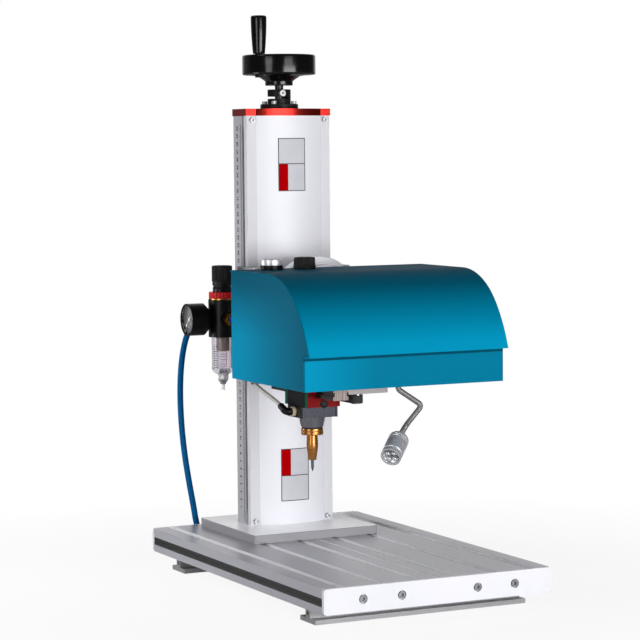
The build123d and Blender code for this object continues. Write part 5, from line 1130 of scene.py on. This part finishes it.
# %% Gooseneck and lamp
lamp_face = Vector((-31.3, -191.7, 184.7))
neck_end = Vector((-1.9, -165.2, 208.4))
lamp_way = (neck_end - lamp_face).normalized()
neck_start = (-6.5, -165.2, 264.7)
neck_line = rounded([(*neck_start, 0), (-6.5, -165.2, 260.7, 3.9), (25.5, -165.2, 240.0, 6),
                     (*(neck_end + 12 * lamp_way), 9), (*(neck_end - 2 * lamp_way), 0)], 12)
neck_line, along = even(neck_line, 0.3 * mm)
rib_pitch = 1.8 * mm
neck_radius = mm * (3.25 + 0.2 * np.sin(tau * along / rib_pitch))
add_piece("gooseneck", tube(neck_line, neck_radius, (0.2, 1, 0.1), 32),
          neck_metal, "lamp", ["lamp_neck"])
add_piece("lamp_housing", turned_shape([
    (0, 6, 0), (10.25, 6, 0.3), (10.25, 0, 0.2), (12.25, 0, 0.6), (12.25, 5.2, 0.4),
    (11.2, 5.4, 0.1), (11.2, 7.6, 0.1), (12.25, 7.8, 0.3), (12.25, 26.6, 0.3), (11.7, 27, 0.1),
    (11.7, 27.8, 0.1), (12.25, 28.2, 0.2), (12.25, 29.6, 0.2), (11.7, 30, 0.1),
    (11.7, 30.8, 0.1), (12.25, 31.2, 0.2), (12.25, 37, 4.5), (4.5, 37, 0.4),
    (4.5, 45.9, 0.6), (0, 45.9, 0)], lamp_face, lamp_way,
    relief=knurl(count=60, pitch=2.4, depth=0.28, low=9, high=25.4), segments=240, row=0.5),
    lamp_metal, "lamp", ["lamp_body"])
lamp_frame = axis_frame(lamp_face, lamp_way)
dish_distance = 4.9
dishes, leds = [], []
for quarter in range(4):
    turn = radians(45 + 90 * quarter)
    offset = Vector((dish_distance * cos(turn), dish_distance * sin(turn), 0))
    place = lamp_frame @ (mm * offset) / mm
    dishes.append(turned_shape([
        (0, 5.7, 0), (1.0, 5.7, 0.3), (3.5, 4.5, 0.8), (3.9, 4.5, 0), (3.9, 6, 0), (0, 6, 0)],
        place, lamp_way, segments=40))
    leds.append(turned_shape([
        (0, 4.6, 0), (1.2, 4.6, 0.6), (1.2, 5.8, 0), (0, 5.8, 0)], place, lamp_way, segments=20))
add_piece("led_dishes", joined(dishes), mirror_dish, "lamp")
add_piece("leds", joined(leds), led_pale, "lamp")
print("gooseneck ribs", round(along[-1] / rib_pitch), "dishes", len(dishes))

# %% [markdown]
# ## The studio
# The machine stands on a white floor that bends up into a white backdrop, and the room in
# front of it is dark, as in a real studio: glossy black shows the softboxes as clear bands
# only where the rest of the room is dark. The camera and clear plastic see white all round,
# and mirrors see it behind the machine. Near the machine the floor keeps a part of its own
# shading, so it still takes a soft shadow.


# %% Floor and world
def backdrop():
    """A floor that bends up at the back: x runs along it, and the section is a line, a
    quarter circle and a line."""
    half_width, front, back, bend, height = 6.0, -6.0, 5.0, 1.5, 5.0
    angle = np.linspace(0, pi / 2, 12)
    section = np.concatenate([
        [(front, 0.0)],
        np.stack([back - bend + bend * np.sin(angle), bend - bend * np.cos(angle)], axis=-1),
        [(back, height)]])
    x = np.array([-half_width, half_width])
    points = np.stack(np.broadcast_arrays(x[None, :], section[:, :1], section[:, 1:]), axis=-1)
    mesh = bpy.data.meshes.new("backdrop")
    mesh.from_pydata(points.reshape(-1, 3).tolist(), [],
                     grid_faces(len(section), 2, closed=False).tolist())
    mesh.shade_smooth()
    stage = bpy.data.objects.new("backdrop", mesh)
    bpy.context.scene.collection.objects.link(stage)
    return stage


def studio_white(shading, plain, white, behind, share=1.0):
    """Mixes a plain shader with white light: fully for the camera and for clear plastic, and
    by the mask called behind for mirrors. The share leaves some of the plain shader."""
    camera_ray, glossy_ray, clear_ray = (
        shading.node("LightPath", output=name)
        for name in ("Is Camera Ray", "Is Glossy Ray", "Is Transmission Ray"))
    direct = (camera_ray + clear_ray) > 0.5
    mirrored = glossy_ray * behind * (1 - direct)
    return shading.node("MixShader", {}, {0: (direct + mirrored) * share, 1: plain, 2: white})


floor = backdrop()
floor_finish = Finish("floor_white", (0.92, 0.92, 0.92), 0.9, specular_ior_level=0.0)
floor.data.materials.append(floor_finish.material)
x, y, z = (floor_finish.axis(name) for name in "XYZ")
distance = floor_finish.node("Math", {"operation": "SQRT"}, {0: x * x + y * y})
glow = floor_finish.node("Emission", {}, {"Color": (1, 1, 1, 1), "Strength": 1.0})
shader = Wire(floor_finish, floor_finish.shader.outputs[0])
wall_heights, wall_sides, shadow_reach = (0.22, 0.45), (-1.6, 0.2), (0.35, 0.8)
wall = floor_finish.ramp(z, *wall_heights) * floor_finish.ramp(x, *wall_sides)
white_share = floor_finish.ramp(distance, *shadow_reach) * 0.1 + 0.9
seen = studio_white(floor_finish, shader, glow, wall * 0.9 + 0.1, white_share)
floor_finish.tree.links.new(seen.socket, floor_finish.tree.nodes["Material Output"].inputs[0])

world = bpy.data.worlds.new("studio")
bpy.context.scene.world = world
world.use_nodes = True
room = Nodes(world.node_tree)
dim = room.node("Background", {}, {"Color": (0.93, 0.95, 1.0, 1.0), "Strength": 0.07})
bright = room.node("Background", {}, {"Color": (1, 1, 1, 1), "Strength": 1.0})
way = room.node("TexCoord", output="Generated")
way_x, way_y = (room.node("SeparateXYZ", {}, {"Vector": way}, name) for name in "XY")
seen = studio_white(room, dim, bright,
                    room.ramp(way_y, 0.3, 0.7) * room.ramp(way_x, -0.2, 0.1))
room.tree.links.new(seen.socket, room.tree.nodes["World Output"].inputs["Surface"])
print("floor and world are ready")


# %% Lights
def softbox(name, place, target, width, height, watts):
    """A rectangular area light that faces its target."""
    light = bpy.data.lights.new(name, "AREA")
    light.shape = "RECTANGLE"
    light.size, light.size_y = width, height
    light.energy = watts
    lamp = bpy.data.objects.new(name, light)
    lamp.location = place
    lamp.visible_camera = False
    lamp.rotation_euler = (Vector(target) - Vector(place)).to_track_quat("-Z", "Y").to_euler()
    bpy.context.scene.collection.objects.link(lamp)


machine_middle, upper_middle = (0.0, 0.0, 0.35), (0.0, 0.0, 0.64)
softbox("left", (-1.99, -1.15, 0.36), machine_middle, 0.75, 0.62, 7.5)
softbox("front", (0.37, -2.37, 0.33), machine_middle, 1.7, 0.58, 39.0)
softbox("left_rear", (-0.50, 0.30, 0.33), (-0.19, 0.08, 0.33), 0.2, 0.3, 1.2)
softbox("upper_left", (-2.04, -1.18, 0.86), upper_middle, 0.9, 0.32, 5.4)
softbox("upper_front", (0.22, -2.38, 0.86), upper_middle, 1.1, 0.32, 6.2)
softbox("high_left", (-1.25, 0.2, 1.85), (-0.05, 0.1, 0.06), 0.6, 0.6, 5.5)
print("softboxes", len(bpy.data.lights))

# %% Finish
bpy.context.scene.view_settings.view_transform = "Standard"
